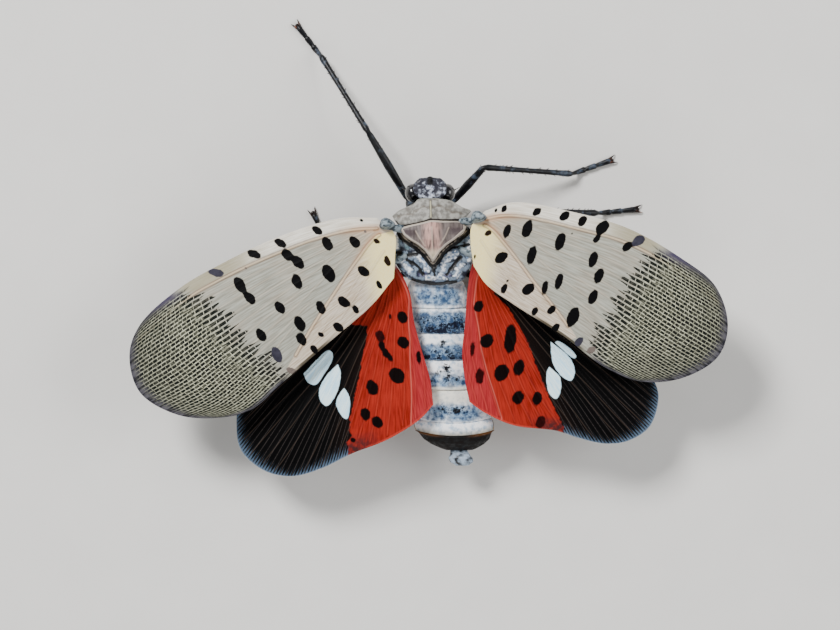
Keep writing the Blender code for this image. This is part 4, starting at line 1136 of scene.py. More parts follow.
def make_wings():
    """The four wings, with the same veins and looks on both sides."""
    veins = [(MAIN_VEIN, FOREWING_STEMS), (SOFT_VEIN, FOREWING_VEINS), (FINE_VEIN, FOREWING_FINE_VEINS)]
    skin = forewing_paint()
    for name, wing, spots, net, lean in (
        ("forewing_left", FOREWING_LEFT, SPOTS_FOREWING_LEFT, NET_LEFT, -FOREWING_SPOT_LEAN),
        ("forewing_right", FOREWING_RIGHT, SPOTS_FOREWING_RIGHT, NET_RIGHT, FOREWING_SPOT_LEAN),
    ):
        marks = forewing_marks(spots, net, lean)
        make_wing(name, wing, FOREWING_CELLS, forewing_top(wing), veins, marks, "forewing", skin)
    veins = [(MAIN_VEIN, fan(HINDWING_VEIN_ENDS)), (FINE_VEIN, fan(HINDWING_FINE_ENDS))]
    skin = hindwing_paint()
    left = (HINDWING_LEFT, SPOTS_HINDWING_LEFT, PATCHES_LEFT, RED_LEFT, FOLD_LEFT, -HINDWING_SPOT_LEAN)
    right = (HINDWING_RIGHT, SPOTS_HINDWING_RIGHT, PATCHES_RIGHT, RED_RIGHT, FOLD_RIGHT, HINDWING_SPOT_LEAN)
    for name, wing in (("hindwing_left", left), ("hindwing_right", right)):
        marks = hindwing_marks(*wing)
        make_wing(name, wing[0], HINDWING_CELLS, hindwing_top, veins, marks, "hindwing", skin)


def closed_skin(rings):
    """Points and faces of a closed skin through rings of like count."""
    rings = np.asarray(rings, float)
    rows, sides = rings.shape[:2]
    grid = np.arange(rows * sides).reshape(rows, sides)
    ahead = np.roll(grid, -1, axis=1)
    walls = np.stack([grid[:-1], ahead[:-1], ahead[1:], grid[1:]], axis=-1).reshape(-1, 4)
    faces = walls.tolist() + [grid[0][::-1].tolist(), grid[-1].tolist()]
    return rings.reshape(-1, 3), faces


def tube(path, radii, sides, squash=1.0):
    """Rings round a path, carried along it without a twist."""
    path = np.asarray(path, float)
    ways = np.gradient(path, axis=0)
    ways /= np.linalg.norm(ways, axis=1)[:, None]
    up = np.cross(ways[0], [0.0, 0.3, 1.0])
    turns = full_turn(sides)
    rings = []
    for point, way, radius in zip(path, ways, radii):
        up = unit(up - way * (up @ way))
        across = np.cross(way, up)
        circle = np.outer(np.cos(turns), up) * squash + np.outer(np.sin(turns), across)
        rings.append(point + radius * circle)
    return np.array(rings)


def round_ends(path, radii):
    """The path and radii with both ends drawn in to small domes."""
    path = np.asarray(path, float)
    shares = np.array([0.15, 0.55, 0.85])
    flatness = 0.8
    start = unit(path[0] - path[1]) * radii[0] * flatness
    end = unit(path[-1] - path[-2]) * radii[-1] * flatness
    heads = [path[0] + start * (1 - share) for share in shares]
    tails = [path[-1] + end * (1 - share) for share in shares[::-1]]
    radii = np.concatenate([radii[0] * shares, radii, radii[-1] * shares[::-1]])
    return np.vstack([heads, path, tails]), radii


def join(parts):
    """Several skins as one list of points and one of faces."""
    points = []
    faces = []
    count = 0
    for some, ring_faces in parts:
        points.append(some)
        faces.extend([[count + i for i in face] for face in ring_faces])
        count += len(some)
    return np.vstack(points), faces


def table(rows, places):
    """The values of a table at new places of its first column, which falls."""
    rows = np.array(rows)[::-1]
    return [np.interp(places, rows[:, 0], rows[:, i]) for i in range(1, rows.shape[1])]


def make_trunk():
    """Chest, belly and tail as one skin, with the plates of the belly stepped."""
    starts = [BELLY_START]
    for length in BELLY_PLATES:
        starts.append(starts[-1] - length)
    places = list(np.arange(TRUNK_RINGS[0][0], BELLY_START, -CHEST_ROW))
    for start, length in zip(starts, BELLY_PLATES):
        places.extend(start - length * np.array(PLATE_SHARES))
    places.extend(np.arange(starts[-1] - 0.02, TRUNK_RINGS[-1][0] - 0.01, -TAIL_ROW))
    places = np.array(places)
    half, top, bottom, waist = table(TRUNK_RINGS, places)
    share = np.full(len(places), 0.5)
    for start, length in zip(starts, BELLY_PLATES):
        within = (places <= start) & (places > start - length)
        share = np.where(within, (start - places) / length, share)
    tuck = -BELLY_STEP * np.clip(1 - share / STEP_SHARE, 0, 1) ** 1.5
    tuck -= PLATE_END_DROP * np.clip(1 - (1 - share) / PLATE_END_SHARE, 0, 1) ** 2
    tuck += BELLY_ROLL * (np.sin(pi * share) - 1) * (share != 0.5)
    turns = full_turn(TRUNK_SIDES)
    across = np.abs(np.cos(turns)) ** (2 / SQUARENESS) * np.sign(np.cos(turns))
    up = np.abs(np.sin(turns)) ** (2 / SQUARENESS) * np.sign(np.sin(turns))
    reach = np.where(up > 0, (top - waist)[:, None], (waist - bottom)[:, None]) + tuck[:, None]
    seam = SEAM_DEPTH * bump(up - SEAM_HEIGHT, SEAM_WIDTH) * (places[:, None] < BELLY_START)
    x = middle(places)[:, None] + (half + tuck)[:, None] * across * (1 - seam)
    z = waist[:, None] + reach * up
    bow = read_rows(BELLY_BOW, -places)
    y = places[:, None] - bow[:, None] * (1 - across**2) * (up > 0) * np.clip(up * 3, 0, 1)
    points, faces = closed_skin(np.stack([x, y, z], axis=-1))
    back = np.repeat(-places, TRUNK_SIDES)
    values = {
        "dusk": table(BELLY_DUSK, -back)[0],
        "share": np.repeat(share, TRUNK_SIDES),
        "across": np.abs(np.tile(across, len(places))),
        "up": np.tile(up, len(places)),
        "back": back,
        "spot": distance_to_dots(points[:, :2], BELLY_SPOTS),
    }
    nodes = ["thorax", "abdomen", "abdomen_tip"]
    add_piece("body_skin", points, faces, "wax", nodes, trunk_paint(), values)


def trunk_paint():
    """Blue-grey plates banded with white wax above, yellow and black below."""
    paint = Paint("body_paint", 0.20)
    rough = paint.noise(0.30, 5.0)
    fine = paint.noise(0.12)
    cloud = paint.noise(0.55, 5.0)
    across = paint.value("across")
    back = paint.value("back")
    share = paint.value("share")
    dusk = paint.value("dusk")

    flank = paint.step(across + cloud.sway(0.5), 0.86, 0.62)
    blue = paint.blend(rough, 0.36, 0.64, (64, 88, 118), (150, 176, 202))
    deep = dusk * flank + rough.sway(1.0) + cloud.sway(0.8) + fine.sway(0.7)
    blue = paint.blend(deep, 0.80, 1.06, blue, (22, 31, 52))
    paint.ground = paint.blend(rough, 0.30, 0.58, (184, 204, 222), (253, 254, 255))
    paint.lay((232, 226, 206), paint.band(back, 9.2, 9.7, 10.5, 11.0) * 0.6)
    paint.lay(paint.mix(rough, (78, 72, 62), (196, 190, 168)), back, 12.4, 12.9, 0.8)
    paint.lay(blue, paint.step(dusk + cloud.sway(1.3), 0.05, 0.80) * flank)
    paint.lay((14, 17, 26), paint.value("spot") + fine.sway(0.6) + rough.sway(0.6), 0.14, -0.10)
    # painted shade: a thin dark line in the step at the front of each belly plate, under the rim of the plate
    # before it
    groove = paint.step(share, 0.04, 0.0) * paint.step(back, 2.0, 2.2) * paint.step(cloud, 0.40, 0.60)
    paint.lay((60, 66, 80), groove * 0.6)

    yellow = paint.mix(rough, (160, 104, 24), (206, 164, 70))
    grey = paint.mix(rough, (14, 13, 16), (96, 108, 126))
    belly = paint.mix(paint.band(share, 0.10, 0.22, 0.60, 0.75) * 0.9, yellow, grey)
    paint.ground = paint.blend(paint.value("up") + rough.sway(0.3), 0.02, 0.16, belly, paint.ground)
    chest = paint.blend(rough, 0.36, 0.72, (20, 19, 22), (96, 104, 114))
    bloom = paint.step(cloud + fine.sway(0.3), 0.52, 0.72)
    paint.lay(paint.mix(bloom * 0.8, chest, (180, 192, 204)), back, 1.9, 1.6)
    brown = paint.blend(rough, 0.4, 0.7, (5, 3, 2), (30, 17, 9))
    rust = paint.step(back, 13.25, 12.98) * paint.step(across, 0.2, 0.7)
    paint.lay(paint.mix(rust * 0.7, brown, (128, 84, 36)), back, 12.86, 12.96)
    return paint.finish((paint.step(rough, 0.3, 0.6), 0.40, 0.75), (rough, 0.06, 0.8), (fine, 0.03, 0.7))


def plate_skin(outline, centre, low, height, inset):
    """A shield over an outline seen from above: rings from its centre to its
    lip, and under it a wall drawn in by that share. The last value tells the
    wall's points."""
    loop = curve_through(list(outline) + [outline[0]], 4)
    loop = evenly(loop, PLATE_SPOKES)[:-1]
    rings = []
    for share in np.linspace(0.02, 1.0, PLATE_ROWS) ** 0.8:
        flat = np.array(centre) + (loop - centre) * share
        rings.append(np.column_stack([flat, height(flat)]))
    rim = rings[-1]
    for share, drop in ((1.0, PLATE_LIP), (1 - inset, PLATE_LIP + 0.04), (1 - inset * 1.2, 9.0)):
        ring = rim.copy()
        ring[:, :2] = np.array(centre) + (loop - centre) * share
        ring[:, 2] = np.maximum(rim[:, 2] - drop, low)
        rings.append(ring)
    under = np.repeat([0.0] * (PLATE_ROWS + 1) + [1.0] * 2, PLATE_SPOKES)
    return *closed_skin(rings), under


def closed(outline):
    """An outline with its first point again at its end."""
    return np.array(outline + outline[:1], float)


def crown(outline, spine, fall):
    """The height of a plate: its spine's heights along Y, less a fall to each
    side given as a depth, a half width and a power, and a rounded rim."""
    loop = closed(outline)
    depth, half_width, power = fall

    def height(flat):
        ridge = read_rows(spine, flat[:, 1])
        side = np.abs(flat[:, 0] - middle(flat[:, 1])) / half_width
        rim = 1 - np.clip(distance_to_line(flat, loop) / PLATE_ROUND, 0, 1)
        return ridge - depth * side**power - PLATE_ROUND_DEPTH * rim**2

    return height


def distance_to_keels(flat, keels):
    """The distance from each point to the nearest of several curves."""
    return np.min([distance_to_line(flat, curve_through(keel, 6)) for keel in keels], axis=0)


def add_plate(name, outline, centre, low, inset, slot, material, height, marks):
    """A plate of the back, with its pattern at its points."""
    points, faces, under = plate_skin(outline, centre, low, height, inset)
    values = {"under": under, **marks(points[:, :2])}
    add_piece(name + "_plate", points, faces, slot, [name], material, values)


def make_pronotum():
    """The collar, with its keel, folds and two pits."""
    smooth = crown(PRONOTUM_OUTLINE, PRONOTUM_SPINE, PRONOTUM_FALL)

    def height(flat):
        pit = np.maximum(distance_to_dots(flat, PRONOTUM_PITS), 0)
        relief = ridge(distance_to_keels(flat, PRONOTUM_KEELS), *PRONOTUM_KEEL)
        relief += ridge(distance_to_keels(flat, PRONOTUM_FOLDS), *PRONOTUM_FOLD)
        return smooth(flat) + relief + ridge(pit, *PRONOTUM_PIT)

    def marks(flat):
        return {
            "edge": distance_to_line(flat, closed(PRONOTUM_OUTLINE)),
            "keel": distance_to_keels(flat, PRONOTUM_KEELS),
            "folds": distance_to_keels(flat, PRONOTUM_FOLDS),
            "pit": distance_to_dots(flat, PRONOTUM_PITS),
            "rear": distance_to_line(flat, np.array(PRONOTUM_OUTLINE[10:])),
        }

    place = (PRONOTUM_OUTLINE, PRONOTUM_CENTRE, PRONOTUM_BOTTOM, PRONOTUM_INSET)
    add_plate("pronotum", *place, "back_plate", pronotum_paint(), height, marks)


def make_mesonotum():
    """The pointed shield behind the collar, with its keels and raised rim."""
    smooth = crown(MESONOTUM_OUTLINE, MESONOTUM_SPINE, MESONOTUM_FALL)

    def height(flat):
        keel = ridge(distance_to_keels(flat, MESONOTUM_KEELS), *MESONOTUM_KEEL)
        rim = distance_to_line(flat, closed(MESONOTUM_OUTLINE)) - MESONOTUM_RIM_INSET
        return smooth(flat) + keel + ridge(rim, *MESONOTUM_RIM)

    def marks(flat):
        return {
            "edge": distance_to_line(flat, closed(MESONOTUM_OUTLINE)),
            "keel": distance_to_keels(flat, MESONOTUM_KEELS),
            "side": np.abs(flat[:, 0] - middle(flat[:, 1])),
            "back": -flat[:, 1],
            "patch": distance_to_dots(flat, MESONOTUM_PATCHES),
        }

    place = (MESONOTUM_OUTLINE, MESONOTUM_CENTRE, MESONOTUM_BOTTOM, MESONOTUM_INSET)
    add_plate("mesonotum", *place, "back_plate", mesonotum_paint(), height, marks)


def make_metanotum():
    """The folded plate round the shield's tip, with lobes, ridges and a groove."""
    smooth = crown(METANOTUM_OUTLINE, METANOTUM_SPINE, METANOTUM_FALL)
    vee = np.array(MESONOTUM_OUTLINE[6:] + MESONOTUM_OUTLINE[:1])

    def height(flat):
        lobe = distance_to_dots(flat, METANOTUM_LOBES)
        band = distance_to_line(flat, vee)
        swell = METANOTUM_LOBE_RISE * np.clip(-lobe / METANOTUM_LOBE_SLOPE, 0, 1) ** 0.5
        swell += ridge(distance_to_keels(flat, METANOTUM_PALE), *METANOTUM_RIDGE)
        swell += ridge(distance_to_keels(flat, METANOTUM_DARK), *METANOTUM_GROOVE)
        swell += ridge(band - VEE_RIDGE_PLACE, *VEE_RIDGE) + ridge(band - VEE_GROOVE_PLACE, *VEE_GROOVE)
        return smooth(flat) + swell

    def marks(flat):
        return {
            "vee": distance_to_line(flat, vee),
            "teal": distance_to_dots(flat, METANOTUM_LOBES),
            "violet": distance_to_dots(flat, METANOTUM_VIOLET),
            "dark": distance_to_keels(flat, METANOTUM_DARK),
            "pale": distance_to_keels(flat, METANOTUM_PALE),
        }

    place = (METANOTUM_OUTLINE, METANOTUM_CENTRE, METANOTUM_BOTTOM, METANOTUM_INSET)
    add_plate("metanotum", *place, "wax", metanotum_paint(), height, marks)


def pronotum_paint():
    """Dull grey with clouds, darker folds and pits, and a pale keel."""
    paint = Paint("pronotum_paint", 0.35)
    rough = paint.noise(0.30, 5.0)
    keel = paint.value("keel")
    paint.ground = paint.blend(rough, 0.35, 0.65, (124, 121, 115), (168, 166, 160))
    paint.lay((104, 92, 78), paint.value("folds") + rough.sway(0.2), 0.12, 0.02, 0.45)
    paint.lay((92, 86, 76), keel, 0.13, 0.08, 0.55)
    paint.lay((198, 192, 160), keel, 0.06, 0.02, 0.8)
    paint.lay((96, 88, 78), paint.value("pit"), 0.15, -0.05, 0.5)
    paint.lay((150, 150, 142), paint.value("edge"), 0.05, 0.01)
    # painted shade: a dark line along the collar's rear edge, where it meets the shield
    paint.lay((40, 32, 28), paint.value("rear"), 0.10, 0.03)
    paint.lay(PLATE_WALL, paint.value("under"), 0.2, 0.6)
    return paint.finish((rough, 0.45, 0.7), (rough, 0.05, 0.8), (paint.noise(0.10), 0.02, 0.7))


def mesonotum_paint():
    """Streaked grey brown, rosy along the middle, with dark side windows and
    a pale rim, keels and tip."""
    paint = Paint("mesonotum_paint", 0.35)
    rough = paint.noise(0.30, 5.0)
    streak = paint.noise(0.16, 4.0, stretch=(1.0, 0.15, 0.3))
    edge = paint.value("edge")
    paint.ground = paint.blend(streak, 0.25, 0.75, (88, 79, 77), (134, 124, 120))
    rosy = paint.step(paint.value("side"), 0.9, 0.2) * paint.step(streak, 0.25, 0.60)
    paint.lay((206, 166, 154), rosy * 0.85)
    paint.lay((74, 60, 64), paint.value("patch") + rough.sway(0.5), 0.30, -0.15, 0.85)
    paint.lay((200, 184, 168), paint.value("keel"), 0.07, 0.03, 0.4)
    paint.lay((214, 204, 180), paint.value("back"), -0.3, 0.3, 0.7)
    paint.lay((190, 180, 168), edge, 0.17, 0.11)
    paint.lay((90, 84, 78), edge, 0.03, 0.0)
    paint.lay(PLATE_WALL, paint.value("under"), 0.2, 0.6)
    return paint.finish((rough, 0.40, 0.65), (streak, 0.05, 0.8), (paint.noise(0.10), 0.02, 0.7))


def metanotum_paint():
    """Blue-grey hollows, black folds and white waxy ridges round the black V."""
    paint = Paint("metanotum_paint", 0.4)
    rough = paint.noise(0.28, 5.0)
    fine = paint.noise(0.10)
    cloud = paint.noise(0.40, 4.0)
    ragged = cloud.sway(0.5)
    vee = paint.value("vee") + ragged * 0.2
    paint.ground = paint.blend(cloud, 0.42, 0.62, (38, 44, 58), (140, 156, 174))
    teal = paint.mix(fine, (84, 110, 120), (140, 164, 170))
    paint.lay(teal, paint.value("teal") + ragged, 0.08, -0.08, 0.8)
    paint.lay((96, 92, 124), paint.value("violet") + ragged, 0.08, -0.08, 0.7)
    wax = paint.blend(rough, 0.36, 0.6, (120, 140, 166), (244, 247, 250))
    paint.lay(wax, paint.value("pale") + ragged * 1.8, 0.26, 0.12)
    paint.lay((40, 46, 62), paint.cells(0.42, "DISTANCE_TO_EDGE"), 0.07, 0.02, 0.30)
    paint.lay((14, 16, 24), paint.value("dark") + ragged * 0.7, 0.17, 0.09)
    paint.lay((9, 9, 12), vee, 0.44, 0.36)
    paint.lay(paint.blend(rough, 0.42, 0.58, (52, 46, 42), (146, 136, 124)), vee, 0.17, 0.12)
    paint.lay(PLATE_WALL, paint.value("under"), 0.2, 0.6)
    roughness = (paint.step(cloud, 0.48, 0.6), 0.35, 0.75)
    return paint.finish(roughness, (cloud, 0.08, 0.8), (rough, 0.05, 0.8), (fine, 0.02, 0.7))


def flap_paint():
    """Dark cuticle with a bloom of wax that has worn off in places."""
    paint = Paint("flap_paint", 0.4, Sheen_Weight=0.15)
    fine = paint.noise(0.10)
    worn = paint.step(paint.noise(0.45, 5.0), 0.34, 0.60)
    wax = paint.mix(fine, tuple(0.8 * part for part in (184, 200, 216)), (184, 200, 216))
    paint.ground = paint.mix(worn, (20, 24, 32), wax)
    return paint.finish((worn, 0.32, 0.8), (worn, 0.03, 0.8), (fine, 0.02, 0.8))


def dome(place, size, rows, sides, lobes=0.0):
    """A closed half ellipsoid that is flat below, lobed by that share."""
    rings = []
    turns = full_turn(sides)
    reach = 1 + lobes * (np.cos(3 * turns + 0.7) - 1)
    for tilt in np.linspace(0.03, pi / 2, rows):
        fold = lobes * np.cos(5 * turns) * sin(2 * tilt)
        ring = np.column_stack([
            place[0] + size[0] * sin(tilt) * np.cos(turns) * reach,
            place[1] + size[1] * sin(tilt) * np.sin(turns) * reach,
            place[2] + size[2] * (cos(tilt) + fold * 0.5),
        ])
        rings.append(ring)
    return closed_skin(rings)


def tegula_paint():
    """Pale blue-grey wax with faint dark cracks."""
    paint = Paint("tegula_paint", 0.35)
    cloud = paint.noise(0.35, 5.0)
    crack = paint.step(paint.cells(0.34, "DISTANCE_TO_EDGE") + cloud.sway(0.9), 0.05, -0.02)
    paint.ground = paint.blend(cloud, 0.38, 0.60, (84, 98, 108), (154, 166, 172))
    paint.lay((30, 36, 44), crack * 0.60)
    return paint.finish((cloud, 0.4, 0.7), (crack, -0.04, 0.8), (paint.noise(0.10), 0.02, 0.8))


def make_tegulae():
    """The knobs over the roots of the wings, with two stems each to the roots."""
    skin = tegula_paint()
    width, length, height = TEGULA_SIZE
    for name, place, side in (("tegula_left", TEGULA_LEFT, 1), ("tegula_right", TEGULA_RIGHT, -1)):
        seat = (place[0], place[1], place[2] - TEGULA_SINK)
        skins = [dome(seat, (width, length, height + TEGULA_SINK), 28, 56, lobes=0.10)]
        for line in (FOREWING_HINGE, HINDWING_HINGE):
            path = curve_through([np.array(place) + np.array(step) * (side, 1, 1) for step in line], 8)
            places = np.linspace(0, 1, len(path))
            radii = np.interp(places, np.linspace(0, 1, len(HINGE_RADII)), HINGE_RADII)
            skins.append(closed_skin(tube(path, radii, TUBE_SIDES, squash=0.6)))
        points, faces = join(skins)
        add_piece(name + "_scale", points, faces, "wax", [name], skin)


def make_head():
    """The head with its flat notched brow, keeled face and sockets."""
    turns = 2 * pi * (np.arange(HEAD_SIDES) + 0.5) / HEAD_SIDES
    across = np.abs(np.cos(turns)) ** HEAD_SQUARENESS * np.sign(np.cos(turns))
    ahead = np.abs(np.sin(turns)) ** HEAD_SQUARENESS * np.sign(np.sin(turns))
    rings = []
    for height, half_width, front, back in curve_through(HEAD_RINGS, 7):
        keel = ridge(across, *BROW_KEEL) + ridge(np.abs(across) - SIDE_KEEL, *SIDE_KEEL_FORM)
        socket = ridge(height - EYE_PLACE[2], *SOCKET) * np.abs(across) ** 3
        x = HEAD_MIDDLE + half_width * across + socket * np.sign(across)
        y = (front + back) / 2 + (front - back) / 2 * ahead + keel * (ahead > 0)
        rings.append(np.column_stack([x, y, np.full(HEAD_SIDES, height)]))
    top = rings[0]
    centre = np.array([HEAD_MIDDLE, BROW_CENTRE])
    lids = []
    for share, drop in BROW_HOLLOW:
        ring = top.copy()
        ring[:, :2] = centre + (top[:, :2] - centre) * share
        notch = ridge(ring[:, 0] - HEAD_MIDDLE, *BROW_NOTCH) * (ring[:, 1] > NOTCH_START)
        ring[:, 2] = top[:, 2] - drop + notch
        lids.append(ring)
    points, faces = closed_skin(lids + rings)
    brow = points - np.array([HEAD_MIDDLE, BROW_MARK, 0.0])
    values = {"brow": brow, "side": np.tile(across, len(points) // HEAD_SIDES)}
    add_piece("head_skin", points, faces, "back_plate", ["head"], head_paint(), values)


def make_eyes_and_feelers():
    """On each side an oval eye, and a feeler with two bulbs and a bristle."""
    eye_skin = eye_paint()
    feeler_skin = feeler_paint()
    turns = full_turn(EYE_SIDES)
    width, length, height = EYE_SIZE
    for side, name in ((-1, "left"), (1, "right")):
        x, y, z = HEAD_MIDDLE + side * (EYE_PLACE[0] - EYE_SINK), EYE_PLACE[1], EYE_PLACE[2]
        rings = []
        for tilt in np.linspace(0.03, pi - 0.03, EYE_ROWS):
            ring = np.column_stack([
                np.full(EYE_SIDES, x + side * width * cos(tilt)),
                y + length * sin(tilt) * np.cos(turns),
                z + height * sin(tilt) * np.sin(turns),
            ])
            rings.append(ring)
        points, faces = closed_skin(rings)
        values = {"out": (points[:, 0] - x) * side}
        add_piece("compound_eye_" + name, points, faces, "eye", ["eye_" + name], eye_skin, values)

        path = curve_through([(HEAD_MIDDLE + side * x, y, z) for x, y, z in FEELER_LINE], 6)
        path, radii = round_ends(path, np.interp(np.linspace(0, 1, len(path)), FEELER_SHARES, FEELER_RADII))
        points, faces = closed_skin(tube(path, radii, TUBE_SIDES))
        values = {"along": np.repeat(np.linspace(0, 1, len(path)), TUBE_SIDES)}
        add_piece("feeler_" + name, points, faces, "orange", ["antenna_" + name], feeler_skin, values)


def make_beak():
    """The long beak under the body, drawn in at its two joints."""
    path = curve_through(BEAK_LINE, 10)
    shares = np.linspace(0, 1, len(path))
    radii = np.interp(shares, np.linspace(0, 1, len(BEAK_RADII)), BEAK_RADII)
    radii *= 1 - sum(depth * bump(shares - place, BEAK_JOINT_WIDTH) for place, depth in BEAK_JOINTS)
    path, radii = round_ends(path, radii)
    points, faces = closed_skin(tube(path, radii, TUBE_SIDES))
    skin = leg_paint("beak_paint", (28, 20, 16), (92, 64, 44))
    add_piece("beak", points, faces, "black", ["rostrum"], skin)


def head_paint():
    """A waxy brow with a dark notch over a dusky face with pale keels."""
    paint = Paint("head_paint", 0.4)
    x, y, z = paint.split(paint.vector("brow"))
    cloud = paint.noise(0.35, 5.0)
    fine = paint.noise(0.09)
    wax = paint.blend(fine, 0.3, 0.6, (120, 130, 154), (204, 210, 222))
    dark = paint.mix(fine, (20, 22, 32), (72, 72, 84))
    bare = cloud - paint.math("MAXIMUM", y + 0.2, 0.0) * 0.22 - abs(x) * 0.07
    top = paint.blend(bare, 0.40, 0.60, dark, wax)
    aside = abs(x + cloud.sway(0.8) * 0.3)
    top = paint.mix(paint.step(aside, 0.26, 0.12) * paint.step(y, -0.1, 0.1), top, (14, 14, 20))
    paint.ground = paint.blend(cloud, 0.36, 0.70, (34, 30, 30), (92, 86, 84))
    side = abs(paint.value("side"))
    keel = paint.math("MINIMUM", side, abs(side - SIDE_KEEL))
    paint.lay((150, 142, 130), paint.step(keel, 0.07, 0.02) * paint.step(y, -0.3, -0.1) * 0.4)
    paint.lay((24, 18, 17), z, 3.6, 3.0)
    paint.lay(top, z, 5.55, 5.75)
    return paint.finish((paint.step(cloud, 0.4, 0.56), 0.35, 0.7), (cloud, 0.05, 0.8), (fine, 0.02, 0.8))


def eye_paint():
    """Dark facets with a pale ring at the socket."""
    paint = Paint("eye_paint", 0.6, Coat_Weight=0.4, Coat_Roughness=0.15)
    facet = paint.cells(0.035)
    cloud = paint.noise(0.3)
    paint.ground = paint.mix(cloud, (8, 10, 20), (34, 30, 38))
    paint.lay((10, 10, 14), facet, 0.35, 0.6, 0.6)
    paint.lay((104, 98, 92), paint.value("out"), -0.26, -0.34)
    return paint.finish((cloud, 0.18, 0.32), (facet, -0.006, 0.6))


def feeler_paint():
    """Grainy orange bulbs with a dark bristle."""
    paint = Paint("feeler_paint", 0.5)
    grain = paint.cells(0.07)
    cloud = paint.noise(0.25)
    paint.ground = paint.mix(cloud, (168, 58, 22), (222, 112, 48))
    paint.lay((120, 34, 14), grain, 0.3, 0.15, 0.5)
    paint.lay((30, 20, 16), paint.value("along"), 0.62, 0.68)
    return paint.finish((cloud, 0.3, 0.5), (grain, -0.02, 0.8))


def leg_paint(name, dark, pale):
    """Hard dark cuticle with painted highlights as pale clouds."""
    paint = Paint(name, 0.32)
    cloud = paint.noise(0.5, 4.0)
    fine = paint.noise(0.07)
    paint.ground = paint.mix(fine, dark, tuple(1.6 * part for part in dark))
    # painted highlights: pale clouds laid over the dark cuticle
    paint.lay(pale, cloud, 0.52, 0.70, 0.6)
    return paint.finish((cloud, 0.28, 0.5), (fine, 0.02, 0.8), (paint.cells(0.12), 0.008, 0.5))


def leg_path(line):
    """The middle line of a leg through its joints, with the radius at each place."""
    path = []
    radii = []
    for start, end, profile in zip(line, line[1:], LEG_PROFILES):
        start = np.array(start)
        end = np.array(end)
        for share, radius in profile:
            path.append(start + (end - start) * share)
            radii.append(radius)
    path = np.array(path)
    dense = []
    dense_radii = []
    for a, b, ra, rb in zip(path, path[1:], radii, radii[1:]):
        count = max(2, int(np.linalg.norm(b - a) / LEG_STEP))
        for k in range(count):
            dense.append(a + (b - a) * k / count)
            dense_radii.append(ra + (rb - ra) * k / count)
    dense.append(path[-1])
    dense_radii.append(radii[-1])
    dense = np.array(dense)
    for _ in range(3):
        dense[1:-1] = (dense[:-2] + 2 * dense[1:-1] + dense[2:]) / 4
    return dense, np.array(dense_radii)


def thorn(base, tip, radius, bend):
    """A curved spine from a broad base to a fine tip."""
    base = np.array(base, float)
    tip = np.array(tip, float)
    shares = np.linspace(0, 1, THORN_ROWS)[:, None]
    path = base + (tip - base) * shares + np.array(bend) * np.sin(pi * shares)
    radii = radius * (1 - shares[:, 0]) ** 0.8 + THORN_TIP
    return closed_skin(tube(path, radii, THORN_SIDES))


def hairs(start, end, shaker):
    """Short hairs all round a leg's part."""
    along = unit(end - start)
    side = unit(np.cross(along, [0.0, 0.0, 1.0]))
    skins = []
    for share in np.linspace(0.12, 0.95, HAIRS):
        turn = shaker.uniform(0, 2 * pi)
        out = side * cos(turn) + np.cross(side, along) * sin(turn)
        foot = start + (end - start) * share + out * HAIR_FOOT
        tip = foot + out * HAIR_LENGTH * 0.6 + along * HAIR_LENGTH * 0.8
        skins.append(thorn(foot, tip, HAIR_RADIUS, (0, 0, 0)))
    return skins


def shin_spines(knee, ankle):
    """The spines on the outer side of a hind shin, and those round its ankle."""
    along = unit(ankle - knee)
    out = np.array([1.0 if ankle[0] > 0 else -1.0, 0.0, SPINE_RISE])
    out = unit(out - along * (out @ along))
    side = np.cross(along, out)
    skins = []
    for share in SPINE_PLACES:
        foot = knee + (ankle - knee) * share
        tip = foot + out * SPINE_LENGTH + along * SPINE_LENGTH * SPINE_SLANT
        skins.append(thorn(foot, tip, SPINE_RADIUS, along * 0.04))
    for lean in ANKLE_SPINES:
        way = out * (1 - lean * lean) ** 0.5 + side * lean
        aside, ahead = ANKLE_SPINE_REACH
        tip = ankle + way * SPINE_LENGTH * aside + along * SPINE_LENGTH * ahead
        foot = ankle - along * ANKLE_SPINE_SETBACK
        skins.append(thorn(foot, tip, ANKLE_SPINE_RADIUS, along * 0.03))
    return skins


def claws(heel, toe):
    """Two curved claws and the pad between them."""
    along = unit(toe - heel)
    across = np.cross(along, [0.0, 0.0, 1.0])
    skins = []
    for side in (-1, 1):
        base = toe - along * 0.10 + across * side * 0.10
        tip = toe + along * CLAW_LENGTH + across * side * CLAW_SPREAD
        tip[2] = CLAW_TIP
        skins.append(thorn(base, tip, CLAW_RADIUS, np.array([0, 0, 0.10])))
    pad = toe + along * TOE_PAD[0]
    skins.append(dome((pad[0], pad[1], 0.02), TOE_PAD, 8, 16))
    return skins


def make_legs():
    """One skin from hip to foot for each leg, and its claws."""
    hard = leg_paint("leg_paint", (16, 17, 21), (96, 108, 124))
    horn = leg_paint("claw_paint", (30, 18, 12), (160, 110, 90))
    shaker = np.random.default_rng(HAIR_SEED)
    for name, line in LEG_LINES.items():
        hip_top, hip_end, knee, ankle, toe = [np.array(point) for point in line]
        heel = ankle + (toe - ankle) * HEEL_SHARE
        heel[2] = FOOT_LEVEL
        path, radii = leg_path([hip_top + [0, 0, HIP_SINK], hip_end, knee, ankle, heel, toe])
        path, radii = round_ends(path, radii)
        rings = tube(path, radii, LEG_SIDES)
        rings[:, :, 2] = np.maximum(rings[:, :, 2], 0.0)
        skins = [closed_skin(rings)] + hairs(hip_end, knee, shaker) + hairs(knee, ankle, shaker)
        if name.startswith("hindleg"):
            skins += shin_spines(knee, ankle)
        points, faces = join(skins)
        nodes = [name + part for part in ("_coxa", "_femur", "_tibia", "_tarsus")]
        add_piece(name + "_skin", points, faces, "black", nodes, hard)
        points, faces = join(claws(heel, toe))
        add_piece(name + "_claws", points, faces, "black", [name + "_tarsus"], horn)


